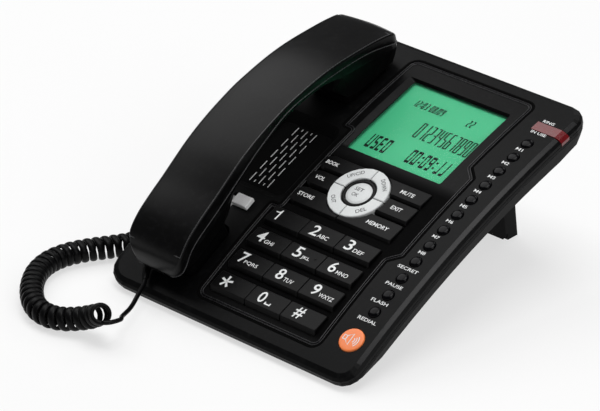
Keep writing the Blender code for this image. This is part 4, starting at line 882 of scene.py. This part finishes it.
def smooth_value(table, share):
    """The value at share on a smooth curve through the rows, level at each peak."""
    last = len(table) - 1
    i = max([k for k in range(last) if table[k][0] <= share] or [0])
    (a, low), (b, high) = table[i], table[i + 1]
    width = b - a
    chord = (high - low) / width
    before = (low - table[i - 1][1]) / (a - table[i - 1][0]) if i else chord
    after = (table[i + 2][1] - high) / (table[i + 2][0] - b) if i + 2 <= last else chord
    first = 2 * before * chord / (before + chord) if before * chord > 0 else 0
    second = 2 * chord * after / (chord + after) if chord * after > 0 else 0
    first = chord if i == 0 else first
    second = chord if i + 2 > last else second
    t = min(1.0, max(0.0, (share - a) / width))
    start = (2 * t**3 - 3 * t**2 + 1) * low + (t**3 - 2 * t**2 + t) * width * first
    return start + (3 * t**2 - 2 * t**3) * high + (t**3 - t**2) * width * second


def half_plan(share):
    """Half the handset's width in plan, with round corners at both ends."""
    corner = front_corner if share < 0.5 else rear_corner
    from_end = min(share, 1 - share) * handset_length
    rest = max(0.0, corner - from_end)
    return handset_width / 2 - corner + math.sqrt(max(0.0, corner**2 - rest**2))


shares = [0.0, 0.0015, 0.0035, 0.006, 0.009, 0.013, 0.018, 0.024, 0.031, 0.04, 0.05]
shares += [0.05 + 0.9 * k / 54 for k in range(1, 55)]
shares += [0.96, 0.968, 0.974, 0.980, 0.985, 0.989, 0.993, 0.996, 0.9985, 1.0]
rings = []
for share in shares:
    half, s = half_plan(share), handset_front + handset_length * share
    seam, top = (handset_rise * smooth_value(table, share) for table in (seam_share, top_share))
    edge = min(edge_round, (top - seam) * 0.6)
    right = [(half - seam_round, seam), (half - seam_round * 0.3, seam + seam_round * 0.3)]
    right += [(half, seam + seam_round), (half, (seam + top - edge) / 2)]
    for k in range(7):
        turn = math.pi / 2 * k / 6
        right.append((half - edge + edge * math.cos(turn), top - edge + edge * math.sin(turn)))
    for reach in (0.75, 0.5, 0.25):
        right.append(((half - edge) * reach, top + crown * (1 - reach**2)))
    ring = [(x, h) for x, h in right] + [(0.0, top + crown)] + [(-x, h) for x, h in reversed(right)]
    rings.append([on_panel(handset_centre + x, s, h) for x, h in ring])
mesh = bmesh.new()
skin(mesh, rings)
outer_half = made_object("handset_outer_half", mesh, handset_plastic, "handset")
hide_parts("handset_outer_shell")
dress(handset_plastic, "handset_inner_shell")


def handset_place(share, reach, height):
    """A place on the handset: reach out from its middle line, height between seam and top."""
    seam, top = (handset_rise * smooth_value(table, share) for table in (seam_share, top_share))
    s = handset_front + handset_length * share
    return on_panel(handset_centre + reach, s, seam + (top - seam) * height)


def handset_bead(name, points, radius):
    """A fine raised line moulded along the handset, in a paler grey that paints a highlight."""
    mesh = bmesh.new()
    rings = []
    for k, point in enumerate(points):
        along = (points[(k + 1) % len(points)] - points[k - 1]).normalized()
        out = along.cross(Vector((0, 0, 1))).normalized()
        up = out.cross(along)
        ring = []
        for a in range(8):
            turn = 2 * math.pi * a / 8
            ring.append(point + radius * (math.cos(turn) * out + math.sin(turn) * up))
        rings.append(ring)
    skin(mesh, rings + rings[:1], ends=False)
    bmesh.ops.remove_doubles(mesh, verts=mesh.verts, dist=1e-6)
    made_object(name, mesh, line_highlight_plastic, "handset")


# The paler grey of the crest and seam lines is a painted highlight along the handset's edges.
line_highlight_grey = (0.034, 0.034, 0.036)
line_highlight_plastic = moulded("line_highlight_plastic", line_highlight_grey, 0.30, depth=0.00001, wear_and_highlight=0.0, gloss=0.5)
crest_front, crest_rear, crest_inset, crest_steps, turn_steps = 0.035, 0.965, 0.0006, 70, 12
run = [crest_front + (crest_rear - crest_front) * k / crest_steps for k in range(crest_steps + 1)]
crest = [handset_place(t, half_plan(t) - crest_inset, 1.0) for t in run]
for k in range(1, turn_steps):
    reach = half_plan(crest_rear) - crest_inset - 0.042 * k / turn_steps
    crest.append(handset_place(crest_rear, reach, 1.0))
crest += [handset_place(t, crest_inset - half_plan(t), 1.0) for t in reversed(run)]
for k in range(1, turn_steps):
    reach = crest_inset - half_plan(crest_front) + 0.040 * k / turn_steps
    crest.append(handset_place(crest_front, reach, 1.0))
handset_bead("handset_crest_line", crest, 0.0003)
run = [0.0015, 0.004, 0.008, 0.014, 0.022, 0.032] + [0.045 + 0.92 * k / 60 for k in range(61)]
run += [0.975, 0.985, 0.993, 0.9985]
seam_line = [handset_place(t, half_plan(t) + 0.0001, 0.035) for t in run]
seam_line += [handset_place(t, -half_plan(t) - 0.0001, 0.035) for t in reversed(run)]
handset_bead("handset_seam_line", seam_line, 0.00032)

# Cord: flat-oval PVC handset cord, wound hot into a tight coil so that it springs back. A short
# straight stretch at each end runs into a moulded plug, at the handset with a tapered relief.
wire_diameter = 0.0030
flat_width = 0.0044
flat_thickness = 0.0022
coil_radius = 0.0062
coil_curls = 40
clearance = 0.0003
coil_route = (
    (-0.0527, -0.0644, 0.0138), (-0.0592, -0.0606, 0.0090), (-0.0665, -0.0606, 0.0048),
    (-0.0742, -0.0635, 0.0020), (-0.0820, -0.0672, 0.0005), (-0.0900, -0.0694, 0.0),
    (-0.0988, -0.0692, 0.0), (-0.1073, -0.0660, 0.0), (-0.1170, -0.0592, 0.0),
    (-0.1280, -0.0480, 0.0), (-0.1360, -0.0353, 0.0), (-0.1393, -0.0223, 0.0),
    (-0.1380, -0.0100, 0.0), (-0.1330, 0.0020, 0.0), (-0.1270, 0.0120, 0.0),
    (-0.1215, 0.0210, 0.0), (-0.1170, 0.0310, 0.0), (-0.1145, 0.0420, 0.0),
    (-0.1135, 0.0560, 0.0), (-0.1135, 0.0730, 0.0),
)  # fmt: skip
handset_lead_route = (
    (-0.0676, -0.0173, 0.0129), (-0.0586, -0.0351, 0.0112), (-0.0524, -0.0481, 0.0132),
    (-0.0462, -0.0565, 0.0166),
)  # fmt: skip
base_lead_route = (
    (-0.1206, 0.0746, 0.0215), (-0.1198, 0.0744, 0.0290), (-0.1160, 0.0730, 0.0353),
    (-0.1108, 0.0712, 0.0385),
)  # fmt: skip
relief_tip = ((-0.0098, 0.0050, 0.0043), (-0.0076, 0.0017, 0.0046))
base_plug_mouth = Vector((-0.1026, 0.07015, 0.0388))


def curve_through(route, count):
    """Evenly spaced points on a smooth curve through a route."""
    points = [Vector(p) for p in route]
    last = len(points) - 1
    spans = [(q - p).length for p, q in zip(points, points[1:])]
    slopes = [(points[1] - points[0]) / spans[0]]
    for i in range(1, last):
        before = (points[i] - points[i - 1]) / spans[i - 1]
        after = (points[i + 1] - points[i]) / spans[i]
        slopes.append((before * spans[i] + after * spans[i - 1]) / (spans[i - 1] + spans[i]))
    slopes.append((points[last] - points[last - 1]) / spans[last - 1])
    fine = []
    for i in range(last):
        a, b = points[i], points[i + 1]
        go, come = slopes[i] * spans[i], slopes[i + 1] * spans[i]
        for k in range(12):
            t = k / 12
            here = a * (2 * t**3 - 3 * t**2 + 1) + go * (t**3 - 2 * t**2 + t)
            fine.append(here + b * (3 * t**2 - 2 * t**3) + come * (t**3 - t**2))
    fine.append(points[last])
    lengths = [0.0]
    for p, q in zip(fine, fine[1:]):
        lengths.append(lengths[-1] + (q - p).length)
    even = []
    i = 0
    for k in range(count + 1):
        want = lengths[-1] * k / count
        while i < len(fine) - 2 and lengths[i + 1] < want:
            i += 1
        even.append(fine[i].lerp(fine[i + 1], (want - lengths[i]) / (lengths[i + 1] - lengths[i])))
    return even


def coil_line(per_curl):
    """The coil's wire and, at each point, the direction out from the coil's own middle line."""
    rest = coil_radius + wire_diameter / 2 + clearance / 2
    line = curve_through([(x, y, rest + lift) for x, y, lift in coil_route], 600)
    turns = round((coil_curls + 1 / 4) * per_curl)
    points, outs = [], []
    for i in range(turns + 1):
        place = i / turns * (len(line) - 1)
        k = min(max(int(place), 0), len(line) - 2)
        centre = line[k] + (line[k + 1] - line[k]) * (place - k)
        forward = (line[k + 1] - line[k]).normalized()
        side = forward.cross(Vector((0, 0, 1))).normalized()
        up = side.cross(forward)
        narrow = min(1.0, max(0.0, 1 - i / per_curl / 3))
        radius = coil_radius * (1 - 0.14 * narrow)
        turn = 2 * math.pi * i / per_curl
        out = -(math.cos(turn) * up + math.sin(turn) * side)
        points.append(centre + radius * out)
        outs.append(out)
    return points, outs


def carried(points, out):
    """The direction out, carried along the points without twisting."""
    outs = []
    for k, point in enumerate(points):
        along = (points[min(k + 1, len(points) - 1)] - points[max(k - 1, 0)]).normalized()
        out = (out - along * out.dot(along)).normalized()
        outs.append(out)
    return outs


def oval_tube(mesh, points, outs, thick, wide):
    """A closed tube of oval section along points; outs gives its thin way."""
    rings = []
    for k, point in enumerate(points):
        along = (points[min(k + 1, len(points) - 1)] - points[max(k - 1, 0)]).normalized()
        out = (outs[k] - along * outs[k].dot(along)).normalized()
        side = along.cross(out)
        ring = []
        for a in range(14):
            turn = 2 * math.pi * a / 14
            thin_way = out * (thick[k] / 2 * math.cos(turn))
            ring.append(point + thin_way + side * (wide[k] / 2 * math.sin(turn)))
        rings.append(ring)
    skin(mesh, rings)


def length_of(points):
    return sum((q - p).length for p, q in zip(points, points[1:]))


cord_vinyl, shader, place = new_finish("cord_vinyl")
smear = noise(place, 0.009, 4.0)
pores = noise(place, 0.0005, 2.0)
Dial(shader["Base Color"]).take(smear.tint((0.0012, 0.0012, 0.0014), (0.003, 0.003, 0.0033)))
Dial(shader["Roughness"]).take(smear * 0.12 + pores * 0.06 + 0.28)
shader["Specular IOR Level"].default_value = 0.10
Dial(shader["Normal"]).take(
    place.add("ShaderNodeBump", {}, {"Strength": 0.25, "Distance": 0.00004, "Height": pores})
)
dress(cord_vinyl, "base_cord_plug", "handset_cord_plug")

coil, coil_outs = coil_line(24)
go_out = (coil[-1] - coil[-2]).normalized()
into_plug = Vector((-1, 0, 0))
route = [coil[-1], coil[-1] + go_out * wire_diameter * 2, *base_lead_route]
route += [base_plug_mouth + into_plug * wire_diameter, base_plug_mouth]
base_lead = curve_through(route, 40)
whole = coil + base_lead[1:]
outs = coil_outs + carried(base_lead[1:], coil_outs[-1])
thick, wide = [], []
for k in range(len(whole)):
    into = min(1.0, max(0.0, (k - 4) / 20)) * min(1.0, max(0.0, (len(coil) - 4 - k) / 20))
    thick.append(wire_diameter * 0.93 + (flat_thickness - wire_diameter * 0.93) * into)
    wide.append(wire_diameter * 0.93 + (flat_width - wire_diameter * 0.93) * into)
mesh = bmesh.new()
oval_tube(mesh, whole, outs, thick, wide)
coiled_cord = made_object("coiled_cord", mesh, cord_vinyl, "base")
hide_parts("curly_cord", "base_lead")
length_of(whole)

relief = [on_panel(handset_centre + x, s, h) for x, s, h in relief_tip]
out_of_relief = (relief[1] - relief[0]).normalized()
out_of_coil = (coil[0] - coil[1]).normalized()
route = [relief[1] - out_of_relief * 0.001, relief[1] + out_of_relief * wire_diameter]
route += [*handset_lead_route, coil[0] + out_of_coil * wire_diameter, coil[0]]
handset_lead = curve_through(route, 60)
mesh = bmesh.new()
round_sizes = [wire_diameter * 0.93] * len(handset_lead)
oval_tube(mesh, handset_lead, carried(handset_lead, coil_outs[0]), round_sizes, round_sizes)
lead = made_object("handset_lead_cord", mesh, cord_vinyl, None)
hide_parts("handset_lead")
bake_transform(lead)
length_of(handset_lead)

# Floor, lights and camera: a pale studio table, four wide soft boxes and an even sky. The floor
# shows almost white to the camera and still keeps the shadow.
floor_paint, shader, place = new_finish("floor_paint")
cloud = noise(place, 0.2, 2.0)
Dial(shader["Base Color"]).take(cloud.tint((0.86, 0.86, 0.86), (0.88, 0.88, 0.88)))
Dial(shader["Roughness"]).take(cloud * 0.1 + 0.8)
glow = place.add("ShaderNodeEmission", {}, {"Color": (1.0, 1.0, 1.0), "Strength": 1.0})
rays = place.add("ShaderNodeLightPath", {}, {})
seen = rays.socket.node.outputs
wanted = rays.sum("MAXIMUM", Dial(seen["Is Camera Ray"]), Dial(seen["Is Glossy Ray"]))
wanted = wanted.sum("MAXIMUM", wanted, Dial(seen["Is Transmission Ray"]))
tree = floor_paint.node_tree
lit = Dial(tree.nodes["Principled BSDF"].outputs[0])
blend = place.add("ShaderNodeMixShader", {}, {0: wanted * 0.62, 1: lit, 2: glow})
tree.links.new(blend.socket, tree.nodes["Material Output"].inputs["Surface"])
mesh = bmesh.new()
bmesh.ops.create_grid(mesh, x_segments=2, y_segments=2, size=4.0)
floor = made_object("floor", mesh, floor_paint, None, smooth=False)

sky = bpy.data.worlds.new("studio")
bpy.context.scene.world = sky
sky.use_nodes = True
sky.node_tree.nodes["Background"].inputs["Color"].default_value = (1.0, 1.0, 1.0, 1.0)
sky.node_tree.nodes["Background"].inputs["Strength"].default_value = 0.14

boxes = (
    ("top_box", (0.15, 0.10, 1.9), (0.05, 0.1, 0.05), 1.1, 19.0),
    ("left_box", (-1.03, 0.24, 1.45), (0.0, 0.1, 0.05), 1.3, 13.0),
    ("rear_box", (-0.3, 1.7, 1.3), (0.0, 0.1, 0.05), 1.0, 5.0),
    ("right_box", (1.6, -0.3, 1.1), (0.0, 0.1, 0.05), 1.0, 10.0),
)
for name, place_at, aim, size, power in boxes:
    lamp_data = bpy.data.lights.new(name, "AREA")
    lamp_data.shape = "SQUARE"
    lamp_data.size = size
    lamp_data.energy = power
    box = bpy.data.objects.new(name, lamp_data)
    bpy.context.scene.collection.objects.link(box)
    box.location = place_at
    box.rotation_euler = (Vector(aim) - Vector(place_at)).to_track_quat("-Z", "Y").to_euler()

round_turn, lift = math.radians(42.0), math.radians(27.7996)
right = Vector((math.cos(round_turn), math.sin(round_turn), 0))
level_back = Vector((math.sin(round_turn), -math.cos(round_turn), 0)) * math.cos(lift)
back = level_back + Vector((0, 0, math.sin(lift)))
above = back.cross(right)
target, distance = Vector((0, 0.091, 0.042)), 2.1347
lens_data = bpy.data.cameras.new("camera")
camera = bpy.data.objects.new("camera", lens_data)
bpy.context.scene.collection.objects.link(camera)
turned = Matrix((right, above, back)).transposed().to_4x4()
camera.matrix_world = Matrix.Translation(target + distance * back) @ turned
lens_data.sensor_width = 36
lens_data.lens = 215.181
lens_data.shift_x = -0.08143
lens_data.shift_y = 0.02062
bpy.context.scene.camera = camera
bpy.context.scene.view_settings.view_transform = "Standard"
